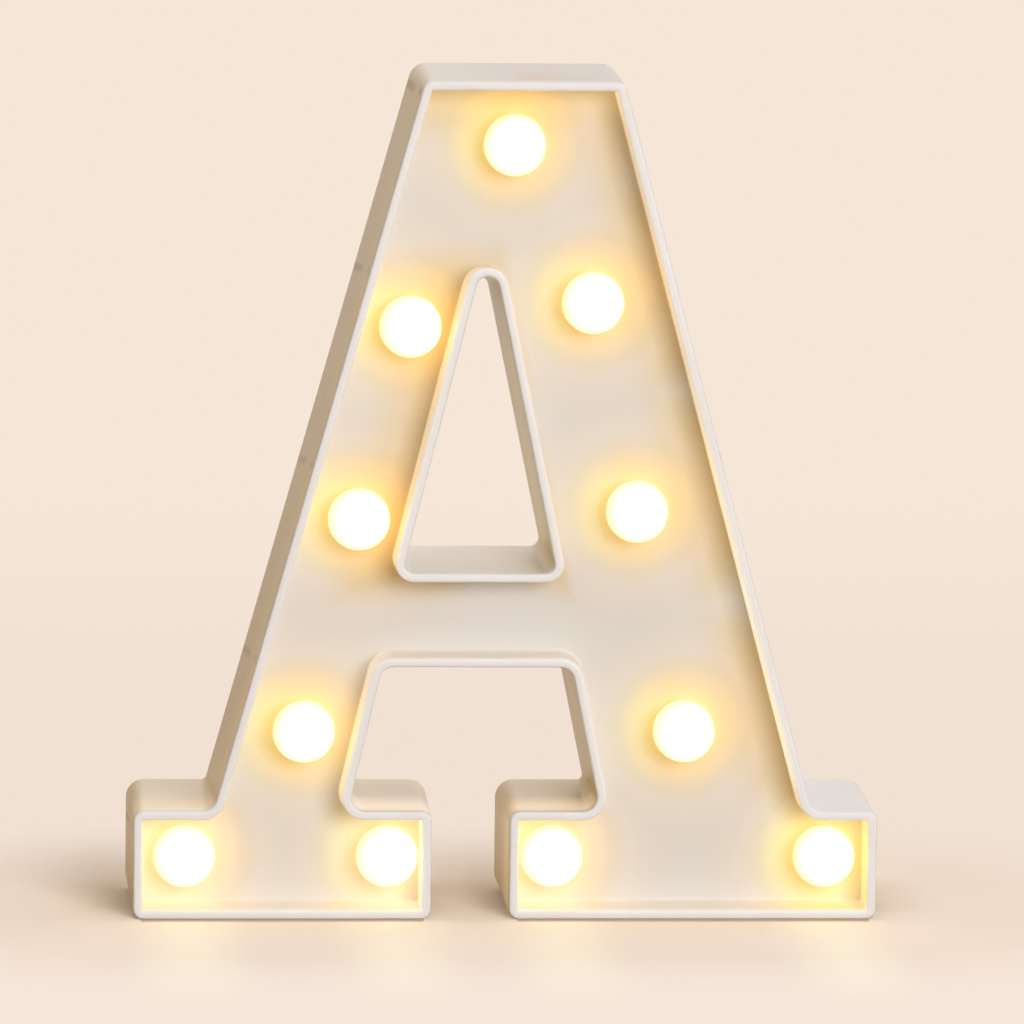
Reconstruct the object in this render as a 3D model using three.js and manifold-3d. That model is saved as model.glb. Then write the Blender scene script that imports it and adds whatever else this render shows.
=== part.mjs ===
// Light-up letter: a white moulded capital A with eleven glowing globes in its recessed face.
// Millimetres. x runs right from the left end of the feet, y runs back from the rim, z up from the soles.
import * as THREE from "three";
import { mergeVertices } from "three/addons/utils/BufferGeometryUtils.js";
import Module from "manifold-3d";

const wasm = await Module();
wasm.setup();

// Outline of the letter, measured at the front rim
const letterWidth = 195;
const letterHeight = 220;
const letterDepth = 45;
const footHeight = 28.6;
const leftToeLength = 20.8; // foot that stands out past the left stroke
const rightToeLength = 17.3;
const leftHeelLength = 22.1; // foot that stands into the gap between the legs
const rightHeelLength = 23.7;

// Points of the outline: across in shares of the letter's width, up in shares of its height
const topLeftShare = 0.38;
const topRightShare = 0.6456;
const gapFootLeftShare = 0.2862;
const gapFootRightShare = 0.6262;
const gapTopShare = 0.3036;
const gapTopLeftShare = 0.3313;
const gapTopRightShare = 0.5856;
const counterBottomShare = 0.4159;
const counterLeftShare = 0.3564;
const counterRightShare = 0.5636;
const counterTopShare = 0.8191; // where the two walls would meet without their rounding
const counterMiddleShare = 0.4677;

// Rounding of the outline's corners at the rim and at the back edge
const outerRadiusFront = 2.7;
const outerRadiusBack = 4.7;
const innerRadiusFront = 3.8;
const innerRadiusBack = 1.4;
const counterBaseRadius = 2.4;
const counterPeakRadius = 3.1;
const sharpRadius = 0.3;
const cornerSteps = 3;
const peakSteps = 6;
const weldDistance = 0.0001;

// Moulded front shell
const wallDraft = 1; // how far the back edge stands out past the rim
const rimWidth = 2.4;
const beadSteps = 4;
const recessDepth = 12;
const recessDraft = 0.3;
const panelThickness = 2;
const wallThickness = 2;
const backLip = 1; // wall left outside the rear cover
const backChamfer = 0.4;
const fitGap = 0.3; // between pieces that touch
const overrun = 1; // how far a cutter passes the surface that it cuts

// Globes and their lamps
const globeRadius = 8.1;
const globeStand = 6; // panel to the middle of the globe
const globeWall = 1;
const neckWall = 0.9;
const neckReach = 3.6; // neck behind the panel
const barbReach = 0.6;
const barbLength = 1.2;
const globeSegments = 12;
const globeSteps = 5;
const globeHollowSteps = 3;
const globeToeMargin = 2.9; // rim to the globe at a foot's outer end
const globeHeelMargin = 0.9;
const lampRadius = 2.5;
const lampPlay = 0.4; // round a lamp in the neck
const lampFlangeReach = 0.5;
const lampFlangeThickness = 1;
const lampLength = 8.6;
const lampSegments = 8;
const legThickness = 0.5;
const legSpacing = 2.54;
const legLength = 4.4;
const legGap = 0.6; // room for the solder between a leg and its wire

// Lamp wires
const wireRadius = 0.65;
const wireSides = 8;
const wireStack = 1.8; // one wire behind the other
const wireStepsPerRun = 6;
const wireBendInset = 9; // corner of a foot to the bend of the wires beside it
const feedWireSteps = 9;

// Rear cover, its screws and the posts that take them
const coverThickness = 2;
const wellWall = 1;
const wellDepth = 3.2;
const wellFloor = 1.3;
const wellPlay = 0.4; // round a screw's head
const wellMargin = 0.6; // between a well and the shell's wall
const postWall = 1.5;
const postBoreDepth = 13;
const ribThickness = 1.2;
const screwRadius = 1.2;
const screwLength = 12;
const screwTipLength = 1.6;
const screwHeadRadius = 2.7;
const screwHeadHeight = 1.9;
const screwHeadEdge = 1.1;
const screwSegments = 8;
const roundSegments = 12;
const holeSegments = 14;

// Keyhole slots that hang the letter on a wall
const keyholeHeadRadius = 4.6;
const keyholeSlotWidth = 3.6;
const keyholeSlotLength = 9;

// Battery compartment for two AA cells, side by side
const cellLength = 50.5;
const cellNubHeight = 1.2;
const cellEdge = 0.6;
const cellSpacing = 0.7; // between the two cells
const cellPlay = 0.5; // beside the cells
const cellSegments = 16;
const bayWall = 2;
const bayLedge = 1;
const bayFloor = 1.4;
const bayMargin = 2.685; // between the compartment and the walls of the stroke
const bayFootMargin = 9; // soles to the compartment's wall
const bayWireSlack = 0.75; // in front of the feed wires under the compartment
const dividerThickness = 1.2;
const contactThickness = 0.4;
const contactInset = 1.45; // edge of a cell to the edge of its contact plate
const contactTabWidth = 3;
const contactTabReach = 2.6;
const contactNubHeight = 0.5;

// Conical battery springs
const springLength = 5.2;
const springWireRadius = 0.35;
const springTurns = 4;
const springStepsPerTurn = 8;
const springSides = 5;

// Battery door with two tabs at its foot and a bent snap at its head
const doorThickness = 1.8;
const doorGap = 0.4;
const doorTilt = 45; // degrees that its bevelled foot lets it tilt before it lifts off
const tabWidth = 6;
const tabLength = 2.2;
const tabThickness = 1;
const tabRoot = 2.3;
const tabSwingDepth = 4.6;
const snapWidth = 10;
const snapStrip = 1;
const snapReach = 5;
const snapDepth = 5.6;
const snapNose = 0.5;
const snapLip = 0.8;
const gripWidth = 16;
const gripRibCount = 4;
const gripRibHeight = 0.5;
const gripRibPitch = 2.2;

// Slide switch
const switchRise = 19; // compartment to the middle of the switch
const switchTravel = 2.5;
const switchBaseDepth = 4.4;
const switchShell = 0.9;
const switchPlateEnd = 0.4; // plate past the screws' heads
const switchPlateThickness = 0.5;
const switchScrewRadius = 0.9;
const switchScrewLength = 2.9;
const switchScrewHeadRadius = 1.9;
const switchScrewHeadHeight = 1.2;
const sliderLength = 4;
const sliderWidth = 3;
const sliderShoulder = 1; // foot past each end of the stem
const sliderCheek = 0.1; // foot past each side of the stem
const sliderFootThickness = 1.6;
const sliderEndPlay = 0.35;
const switchDishMargin = 1.7; // round the slot
const switchDishDepth = 1.2;
const switchPadMargin = 1.6;
const switchPinLength = 3;
const switchPinSize = 0.8;
const switchPinPitch = 3;
const switchSink = 0.2; // slider's top below the back of the letter

// Places that follow from the sizes above
const rimRadius = rimWidth / 2;
const panelBack = recessDepth + panelThickness;
const coverFace = letterDepth - coverThickness;
const coverSeat = coverFace - fitGap;
const coverInset = backLip + fitGap;
const wellEnd = letterDepth - wellDepth - wellFloor;
const postEnd = wellEnd - fitGap;
const wellBoreRadius = screwHeadRadius + wellPlay;
const wellRadius = wellBoreRadius + wellWall;
const postBoreRadius = screwRadius + fitGap;
const postRadius = postBoreRadius + postWall;
const postInset = wallThickness + fitGap + wellRadius + wellMargin;
const neckBoreRadius = lampRadius + lampPlay;
const neckRadius = neckBoreRadius + neckWall;
const neckLength = panelThickness + neckReach;
const lampSeat = recessDepth + neckLength + fitGap;
const legStart = lampSeat + lampFlangeThickness;
const redDepth = legStart + wireRadius + fitGap;
const blackDepth = redDepth + wireStack;
const wireOffset = (legSpacing + legThickness) / 2 + legGap + wireRadius;
const footWireEnd = blackDepth + wireStack + wireRadius;

// Geometry helpers

// A closed solid from positions and faces; the faces are turned round if they point inwards.
function closedSolid(positions, faces) {
  let volume = 0;
  for (let i = 0; i < faces.length; i += 3) {
    const [a, b, c] = [0, 1, 2].map((k) => new THREE.Vector3().fromArray(positions, faces[i + k] * 3));
    volume += a.dot(b.cross(c));
  }
  const triVerts = new Uint32Array(faces);
  if (volume < 0) {
    for (let i = 0; i < triVerts.length; i += 3) {
      [triVerts[i + 1], triVerts[i + 2]] = [triVerts[i + 2], triVerts[i + 1]];
    }
  }
  return new wasm.Manifold(
    new wasm.Mesh({ numProp: 3, vertProperties: new Float32Array(positions), triVerts }),
  );
}

// A three.js geometry as a solid, with shared vertices merged and collapsed faces dropped.
function solid(geometry) {
  const bare = new THREE.BufferGeometry().setAttribute("position", geometry.getAttribute("position"));
  if (geometry.index) bare.setIndex(geometry.index);
  const merged = mergeVertices(bare, weldDistance);
  const faces = [];
  for (let i = 0; i < merged.index.count; i += 3) {
    const [a, b, c] = [0, 1, 2].map((k) => merged.index.getX(i + k));
    if (a !== b && b !== c && c !== a) faces.push(a, b, c);
  }
  return closedSolid(merged.attributes.position.array, faces);
}

function join(...solids) {
  return solids.reduce((all, next) => all.add(next));
}

function cut(body, ...cutters) {
  return cutters.reduce((left, cutter) => left.subtract(cutter), body);
}

function toGeometry(body) {
  const mesh = body.getMesh();
  const geometry = new THREE.BufferGeometry();
  geometry.setAttribute("position", new THREE.BufferAttribute(new Float32Array(mesh.vertProperties), 3));
  geometry.setIndex(new THREE.BufferAttribute(new Uint32Array(mesh.triVerts), 1));
  geometry.computeVertexNormals();
  return geometry;
}

// A block between two corners.
function block(x0, x1, y0, y1, z0, z1) {
  const geometry = new THREE.BoxGeometry(x1 - x0, y1 - y0, z1 - z0);
  geometry.translate((x0 + x1) / 2, (y0 + y1) / 2, (z0 + z1) / 2);
  return solid(geometry);
}

// An outline in x and z, with holes, filled from depth y0 to y1.
function slab(outline, holes, y0, y1) {
  const shape = new THREE.Shape(outline);
  shape.holes = holes.map((points) => new THREE.Path(points));
  const geometry = new THREE.ExtrudeGeometry(shape, { depth: y1 - y0, bevelEnabled: false, steps: 1 });
  geometry.rotateX(Math.PI / 2);
  geometry.translate(0, y1, 0);
  return solid(geometry);
}

function circle(x, z, radius, segments) {
  return Array.from({ length: segments }, (_, i) => {
    const angle = (i / segments) * 2 * Math.PI;
    return new THREE.Vector2(x + radius * Math.cos(angle), z + radius * Math.sin(angle));
  });
}

// A round bar along y.
function bar(x, z, radius, y0, y1, segments = roundSegments) {
  const geometry = new THREE.CylinderGeometry(radius, radius, y1 - y0, segments);
  geometry.translate(x, (y0 + y1) / 2, z);
  return solid(geometry);
}

// A profile of [radius, depth] pairs turned about a line along y through x and z.
function turned(x, z, profile, segments) {
  const geometry = new THREE.LatheGeometry(profile.map(([r, y]) => new THREE.Vector2(r, y)), segments);
  geometry.translate(x, 0, z);
  return solid(geometry);
}

// A round tube along a smooth curve through the points, with a ring at each point.
function wireAlong(points, steps) {
  const section = new THREE.Shape(circle(0, 0, wireRadius, wireSides));
  const extrudePath = new THREE.CatmullRomCurve3(points, false, "centripetal");
  extrudePath.getUtoTmapping = (u) => u;
  return solid(new THREE.ExtrudeGeometry(section, { steps, bevelEnabled: false, extrudePath }));
}

// Outline of the letter

const gapTop = letterHeight * gapTopShare;
const gapTopLeft = letterWidth * gapTopLeftShare;
const gapTopRight = letterWidth * gapTopRightShare;
const gapFootLeft = letterWidth * gapFootLeftShare;
const gapFootRight = letterWidth * gapFootRightShare;
const leftFootEnd = gapFootLeft + leftHeelLength;
const rightFootStart = gapFootRight - rightHeelLength;
const rightFootCorner = letterWidth - rightToeLength;
const topLeft = letterWidth * topLeftShare;
const topRight = letterWidth * topRightShare;
const counterBottom = letterHeight * counterBottomShare;
const counterTop = letterHeight * counterTopShare;
const counterLeft = letterWidth * counterLeftShare;
const counterRight = letterWidth * counterRightShare;
const counterMiddle = letterWidth * counterMiddleShare;

// Corners of the outside, anticlockwise from the left sole. A sole's edge has no draft, so it stands flat.
const convex = { front: outerRadiusFront, back: outerRadiusBack, steps: cornerSteps };
const reflex = { front: innerRadiusFront, back: innerRadiusBack, steps: cornerSteps };
const outsideCorners = [
  { x: 0, z: 0, sole: true, ...convex },
  { x: leftFootEnd, z: 0, ...convex },
  { x: leftFootEnd, z: footHeight, ...convex },
  { x: gapFootLeft, z: footHeight, ...reflex },
  { x: gapTopLeft, z: gapTop, ...reflex },
  { x: gapTopRight, z: gapTop, ...reflex },
  { x: gapFootRight, z: footHeight, ...reflex },
  { x: rightFootStart, z: footHeight, ...convex },
  { x: rightFootStart, z: 0, sole: true, ...convex },
  { x: letterWidth, z: 0, ...convex },
  { x: letterWidth, z: footHeight, ...convex },
  { x: rightFootCorner, z: footHeight, ...reflex },
  { x: topRight, z: letterHeight, ...convex },
  { x: topLeft, z: letterHeight, ...convex },
  { x: leftToeLength, z: footHeight, ...reflex },
  { x: 0, z: footHeight, ...convex },
];

// Corners of the counter, clockwise, so that its outer side is the open triangle.
const counterBase = { front: counterBaseRadius, back: counterBaseRadius, steps: cornerSteps };
const counterPeak = { front: counterPeakRadius, back: counterPeakRadius, steps: peakSteps };
const counterCorners = [
  { x: counterLeft, z: counterBottom, ...counterBase },
  { x: counterMiddle, z: counterTop, ...counterPeak },
  { x: counterRight, z: counterBottom, ...counterBase },
];

// The outline at depth y, moved into the material by inset, as rounded points.
function ring(corners, inset, y) {
  const share = y / letterDepth;
  const count = corners.length;
  const edges = corners.map((from, i) => {
    const to = corners[(i + 1) % count];
    const along = new THREE.Vector2(to.x - from.x, to.z - from.z).normalize();
    const out = new THREE.Vector2(along.y, -along.x);
    const shift = (from.sole ? 0 : wallDraft * share) - inset;
    return { along, point: new THREE.Vector2(from.x, from.z).addScaledVector(out, shift) };
  });
  return corners.flatMap((corner, i) => {
    const before = edges[(i + count - 1) % count];
    const after = edges[i];
    const turn = Math.atan2(before.along.cross(after.along), before.along.dot(after.along));
    const side = Math.sign(turn);
    const apart = after.point.clone().sub(before.point);
    const reach = apart.cross(after.along) / before.along.cross(after.along);
    const tip = before.point.clone().addScaledVector(before.along, reach);
    const rounding = THREE.MathUtils.lerp(corner.front, corner.back, share) - side * inset;
    const radius = Math.max(rounding, sharpRadius);
    const run = radius * Math.tan(Math.abs(turn) / 2);
    const start = tip.clone().addScaledVector(before.along, -run);
    const inward = new THREE.Vector2(-before.along.y, before.along.x);
    const centre = start.clone().addScaledVector(inward, side * radius);
    return Array.from({ length: corner.steps + 1 }, (_, k) =>
      start.clone().rotateAround(centre, (turn * k) / corner.steps),
    );
  });
}

// A closed wall section of [inset, y] pairs carried round an outline.
function wallAround(corners, section) {
  const rings = section.map(([inset, y]) => ring(corners, inset, y).map((p) => [p.x, y, p.y]));
  const size = rings[0].length;
  const faces = [];
  rings.forEach((_, j) => {
    const next = (j + 1) % rings.length;
    for (let i = 0; i < size; i++) {
      const [a, b] = [j * size + i, j * size + ((i + 1) % size)];
      const [c, d] = [next * size + i, next * size + ((i + 1) % size)];
      faces.push(a, b, d, a, d, c);
    }
  });
  return closedSolid(rings.flat(2), faces);
}

// Where a sloping edge of the letter lies at height z.
function edgeAt(lowX, lowZ, highX, highZ, z) {
  return THREE.MathUtils.mapLinear(z, lowZ, highZ, lowX, highX);
}
const leftSideAt = (z) => edgeAt(leftToeLength, footHeight, topLeft, letterHeight, z);
const rightSideAt = (z) => edgeAt(rightFootCorner, footHeight, topRight, letterHeight, z);
const gapLeftAt = (z) => edgeAt(gapFootLeft, footHeight, gapTopLeft, gapTop, z);
const gapRightAt = (z) => edgeAt(gapFootRight, footHeight, gapTopRight, gapTop, z);
const counterLeftAt = (z) => edgeAt(counterLeft, counterBottom, counterMiddle, counterTop, z);
const counterRightAt = (z) => edgeAt(counterRight, counterBottom, counterMiddle, counterTop, z);

// Lamps on the strokes: a share of the letter's height, and a share of the way across the stroke there.
const strokeLampShares = {
  leg_left: { heightShare: 0.222, acrossShare: 0.53 },
  mid_left: { heightShare: 0.477, acrossShare: 0.53 },
  high_left: { heightShare: 0.707, acrossShare: 0.52 },
  top: { heightShare: 0.923, acrossShare: 0.466 },
  high_right: { heightShare: 0.736, acrossShare: 0.51 },
  mid_right: { heightShare: 0.487, acrossShare: 0.49 },
  leg_right: { heightShare: 0.223, acrossShare: 0.485 },
};
function strokeLamp(name, leftEdge, rightEdge) {
  const { heightShare, acrossShare } = strokeLampShares[name];
  const z = letterHeight * heightShare;
  return { name, x: THREE.MathUtils.lerp(leftEdge(z), rightEdge(z), acrossShare), z };
}
const footLampShare = 0.553;
const footLampZ = footHeight * footLampShare;
const toeLampInset = rimWidth + globeToeMargin + globeRadius;
const heelLampInset = rimWidth + globeHeelMargin + globeRadius;
const wireBendShare = 0.7;
const wireBendZ = footHeight * wireBendShare;
const footLamp = (name, x) => ({ name, x, z: footLampZ });
const toeLeft = footLamp("toe_left", toeLampInset);
const heelLeft = footLamp("heel_left", leftFootEnd - heelLampInset);
const heelRight = footLamp("heel_right", rightFootStart + heelLampInset);
const toeRight = footLamp("toe_right", letterWidth - toeLampInset);

// Screw posts stand along the outer sides, and the wires pass between them and the wall that they face.
const highPostShare = 0.757;
const middlePostShare = 0.525;
const lowPostShare = 0.293;
function pastPost(heightShare, facingEdge) {
  const z = letterHeight * heightShare;
  return { x: (leftSideAt(z) + postInset + postRadius + facingEdge(z) - wallThickness) / 2, z };
}

// The main pair of wires goes up the left stroke and down the right one, past a bend above each toe.
const mainRoute = [
  toeLeft,
  { x: leftToeLength + wireBendInset, z: wireBendZ },
  strokeLamp("leg_left", leftSideAt, gapLeftAt),
  pastPost(lowPostShare, gapLeftAt),
  strokeLamp("mid_left", leftSideAt, counterLeftAt),
  pastPost(middlePostShare, counterLeftAt),
  strokeLamp("high_left", leftSideAt, counterLeftAt),
  pastPost(highPostShare, counterLeftAt),
  strokeLamp("top", leftSideAt, rightSideAt),
  strokeLamp("high_right", counterRightAt, rightSideAt),
  strokeLamp("mid_right", counterRightAt, rightSideAt),
  strokeLamp("leg_right", gapRightAt, rightSideAt),
  { x: rightFootCorner - wireBendInset, z: wireBendZ },
  toeRight,
];
// A short pair in each foot joins the toe's lamp to the heel's.
const footRoutes = { left: [toeLeft, heelLeft], right: [heelRight, toeRight] };
const lamps = [heelLeft, ...mainRoute.filter(({ name }) => name), heelRight];

// The wires run along the route, and a lamp's legs stand across it.
[mainRoute, footRoutes.left, footRoutes.right].forEach((route) => {
  route.forEach((place, i) => {
    const before = route[Math.max(i - 1, 0)];
    const after = route[Math.min(i + 1, route.length - 1)];
    const heading = new THREE.Vector2();
    [[before, place], [place, after]].forEach(([from, to]) => {
      heading.add(new THREE.Vector2(to.x - from.x, to.z - from.z).normalize());
    });
    place.across ??= new THREE.Vector2(-heading.y, heading.x).normalize();
  });
});

// Screw posts, each with a rib that ties it to the nearest wall.
function sidePost(heightShare, edge, side) {
  const z = letterHeight * heightShare;
  const wall = edge(z);
  return { x: wall + side * postInset, z, wallX: wall + (side * wallThickness) / 2, wallZ: z };
}
const wallMiddle = wallThickness / 2;
const topPostZ = letterHeight - postInset;
const toePostShare = 0.713;
const toePostZ = footHeight * toePostShare;
const crossbarZ = (gapTop + counterBottom) / 2;
const crossbarX = (gapTopLeft + gapTopRight) / 2;
const topPostX = leftSideAt(topPostZ) + postInset;
const posts = [
  { x: topPostX, z: topPostZ, wallX: leftSideAt(topPostZ) + wallMiddle, wallZ: topPostZ },
  sidePost(highPostShare, leftSideAt, 1),
  sidePost(middlePostShare, leftSideAt, 1),
  sidePost(lowPostShare, leftSideAt, 1),
  { x: postInset, z: toePostZ, wallX: wallMiddle, wallZ: toePostZ },
  { x: leftFootEnd - postInset, z: postInset, wallX: leftFootEnd - wallMiddle, wallZ: postInset },
  { x: crossbarX, z: crossbarZ, wallX: crossbarX, wallZ: gapTop + wallMiddle },
  { x: rightFootStart + postInset, z: postInset, wallX: rightFootStart + wallMiddle, wallZ: postInset },
  { x: letterWidth - postInset, z: toePostZ, wallX: letterWidth - wallMiddle, wallZ: toePostZ },
  sidePost(middlePostShare, rightSideAt, -1),
  sidePost(highPostShare, rightSideAt, -1),
];

// Front shell: rim, recessed panel, draughted walls and screw posts in one moulding.
function frontShell() {
  const bead = Array.from({ length: beadSteps + 1 }, (_, i) => {
    const angle = (i / beadSteps) * Math.PI;
    return [rimRadius - rimRadius * Math.cos(angle), rimRadius - rimRadius * Math.sin(angle)];
  });
  const panelMiddle = recessDepth + panelThickness / 2;
  const section = [
    ...bead,
    [rimWidth + recessDraft, panelMiddle],
    [wallThickness, panelMiddle],
    [wallThickness, coverSeat],
    [backLip, coverSeat],
    [backLip, letterDepth],
    [backChamfer, letterDepth],
    [0, letterDepth - backChamfer],
  ];
  const lampHoles = lamps.map(({ x, z }) => circle(x, z, neckRadius + fitGap, holeSegments));
  const panel = slab(
    ring(outsideCorners, rimRadius, recessDepth),
    [ring(counterCorners, rimRadius, recessDepth), ...lampHoles],
    recessDepth,
    panelBack,
  );
  const postStart = recessDepth + panelThickness / 2;
  const columns = posts.map(({ x, z }) => bar(x, z, postRadius, postStart, postEnd));
  const ribs = posts.map(({ x, z, wallX, wallZ }) => {
    const half = ribThickness / 2;
    const level = wallZ === z;
    const [x0, x1] = level ? [Math.min(x, wallX), Math.max(x, wallX)] : [x - half, x + half];
    const [z0, z1] = level ? [z - half, z + half] : [Math.min(z, wallZ), Math.max(z, wallZ)];
    return block(x0, x1, postStart, postEnd - wellFloor, z0, z1);
  });
  const bores = posts.map(({ x, z }) =>
    bar(x, z, postBoreRadius, postEnd - postBoreDepth, postEnd + overrun, screwSegments),
  );
  const shell = join(wallAround(outsideCorners, section), wallAround(counterCorners, section), panel);
  return cut(join(shell, ...columns, ...ribs), ...bores);
}

// A hollow globe on a barbed neck that snaps through the panel from the front.
function globe({ x, z }) {
  const middle = recessDepth - globeStand;
  const seat = recessDepth - fitGap;
  const arc = (radius, from, to, steps) =>
    Array.from({ length: steps + 1 }, (_, i) => {
      const angle = THREE.MathUtils.lerp(from, to, i / steps);
      return [Math.max(radius * Math.sin(angle), 0), middle + radius * Math.cos(angle)];
    });
  const outerStart = Math.acos((seat - middle) / globeRadius);
  const hollow = globeRadius - globeWall;
  const hollowStart = Math.asin(neckBoreRadius / hollow);
  const barbFront = panelBack + fitGap;
  const neckEnd = recessDepth + neckLength;
  const profile = [
    [neckBoreRadius, neckEnd],
    [neckRadius - barbReach / 2, neckEnd],
    [neckRadius + barbReach, barbFront + barbLength],
    [neckRadius + barbReach, barbFront],
    [neckRadius, barbFront],
    [neckRadius, seat],
    ...arc(globeRadius, outerStart, Math.PI, globeSteps),
    ...arc(hollow, Math.PI, hollowStart, globeHollowSteps),
    [neckBoreRadius, neckEnd],
  ];
  return turned(x, z, profile, globeSegments);
}

// A round lamp whose flange closes the neck and whose two legs meet the wires.
function lamp({ x, z, across }) {
  const domeTop = legStart - lampLength;
  const flangeRadius = lampRadius + lampFlangeReach;
  const profile = [
    [0, legStart],
    [flangeRadius, legStart],
    [flangeRadius, lampSeat],
    [lampRadius, lampSeat],
    [lampRadius, domeTop + lampRadius],
    [lampRadius * Math.SQRT1_2, domeTop + lampRadius * (1 - Math.SQRT1_2)],
    [0, domeTop],
  ];
  const angle = Math.atan2(across.y, across.x);
  const legs = [-1, 1].map((side) => {
    const leg = new THREE.BoxGeometry(legThickness, legLength + lampFlangeThickness / 2, legThickness);
    leg.translate((side * legSpacing) / 2, 0, 0);
    leg.rotateY(-angle);
    leg.translate(x, legStart + legLength / 2 - lampFlangeThickness / 4, z);
    return solid(leg);
  });
  return join(turned(x, z, profile, lampSegments), ...legs);
}

// A wire that passes the lamps of a route on one side.
function lampWire(route, side, depth) {
  const points = route.map(({ x, z, across }) => {
    const place = new THREE.Vector2(x, z).addScaledVector(across, side * wireOffset);
    return new THREE.Vector3(place.x, depth, place.y);
  });
  return wireAlong(points, (route.length - 1) * wireStepsPerRun);
}

// A pan head screw, its head to the back where headward is 1 and to the front where it is -1.
function screw(x, z, headSeat, size, headward) {
  const profile = [
    [0, -size.length],
    [size.radius, size.tip - size.length],
    [size.radius, 0],
    [size.headRadius, 0],
    [size.headRadius, size.headEdge],
    [size.headRadius - size.headEdge, size.headHeight],
    [0, size.headHeight],
  ].map(([radius, along]) => [radius, headSeat + headward * along]);
  return turned(x, z, profile, screwSegments);
}

// Battery compartment: places shared by the cover, the door, the cells and the contacts

const bayBottom = bayFootMargin + bayWall;
const contactSpace = contactThickness + fitGap;
const springSpace = contactSpace + springLength + fitGap;
const bayLength = springSpace + cellLength + fitGap + contactNubHeight + contactSpace;
const bayTop = bayBottom + bayLength;
const doorUnder = letterDepth - doorThickness - fitGap / 2;
// The compartment stands midway between the walls of the right stroke, behind the wires in the foot,
// and its two cells are as thick as that room allows.
const bayRoomLeft = gapFootRight + wallThickness + bayMargin;
const bayRoomRight = rightSideAt(bayTop + bayWall) - wallThickness - bayMargin;
const bayMiddle = (bayRoomLeft + bayRoomRight) / 2;
const bayRoomWidth = bayRoomRight - bayRoomLeft - 2 * bayWall - 2 * cellPlay - cellSpacing;
const bayRoomFront = footWireEnd + bayWireSlack + 2 * wireRadius + fitGap + bayFloor;
const bayRoomDepth = doorUnder - bayRoomFront - 2 * fitGap;
const cellRadius = Math.min(bayRoomWidth / 2, bayRoomDepth) / 2;
const cellPitch = 2 * cellRadius + cellSpacing;
const bayWidth = cellPitch + 2 * cellRadius + 2 * cellPlay;
const bayLeft = bayMiddle - bayWidth / 2;
const bayRight = bayMiddle + bayWidth / 2;
const cellNubShare = 0.38;
const cellNubRadius = cellRadius * cellNubShare;
const contactSize = 2 * (cellRadius - contactInset);
const springBaseShare = 0.55;
const springTipShare = 0.32;
const springBaseRadius = cellRadius * springBaseShare;
const springTipRadius = cellRadius * springTipShare;
const dividerShare = 0.47;
const dividerHeight = cellRadius * dividerShare;
const cellDepth = doorUnder - fitGap - cellRadius;
const bayFloorDepth = cellDepth - cellRadius - fitGap;
const ledgeDepth = doorUnder - fitGap;
const doorLeft = bayLeft - bayLedge;
const doorRight = bayRight + bayLedge;
const doorBottom = bayBottom - bayLedge;
const doorTop = bayTop + bayLedge;
const cellXs = [bayMiddle - cellPitch / 2, bayMiddle + cellPitch / 2];
const tabOffsetShare = 0.3;
const tabXs = [bayMiddle - bayWidth * tabOffsetShare, bayMiddle + bayWidth * tabOffsetShare];
const snapStart = bayTop + bayWall;
const snapEnd = snapStart + snapReach;
const snapBayEnd = snapEnd + fitGap;
const snapBayHalf = snapWidth / 2 + fitGap;
const contactLow = cellDepth - contactSize / 2;
const tabSlitHalf = contactTabWidth / 2 + fitGap;

// Switch: places shared by the cover and the switch's pieces

const switchZ = bayTop + switchRise;
const switchX = (counterRightAt(switchZ) + rightSideAt(switchZ)) / 2;
const switchPad = coverFace - switchDishDepth;
const switchPlateBack = switchPad - fitGap;
const switchPlateFront = switchPlateBack - switchPlateThickness;
const switchSlotHalf = (sliderLength + switchTravel) / 2 + fitGap;
const switchBaseBack = switchPlateFront - fitGap;
const sliderFootLength = sliderLength + 2 * sliderShoulder;
const sliderFootWidth = sliderWidth + 2 * sliderCheek;
const switchBaseLength = sliderFootLength + switchTravel + 2 * (sliderEndPlay + switchShell);
const switchBaseWidth = sliderFootWidth + 2 * (fitGap + switchShell);
const switchScrewSpacing = switchBaseLength + 2 * (switchScrewHeadRadius + fitGap);
const switchPlateLength = switchScrewSpacing + 2 * (switchScrewHeadRadius + switchPlateEnd);
const switchDishLength = 2 * (switchSlotHalf + switchDishMargin);
const switchDishWidth = sliderWidth + 2 * (fitGap + switchDishMargin);
const switchScrewXs = [switchX - switchScrewSpacing / 2, switchX + switchScrewSpacing / 2];
const sliderRestX = switchX + switchTravel / 2;

// Keyholes sit at one height, in the middle of each stroke
const keyholeShare = 0.6;
const keyholeZ = letterHeight * keyholeShare;
const keyholeXs = [
  (leftSideAt(keyholeZ) + counterLeftAt(keyholeZ)) / 2,
  (counterRightAt(keyholeZ) + rightSideAt(keyholeZ)) / 2,
];

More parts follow.
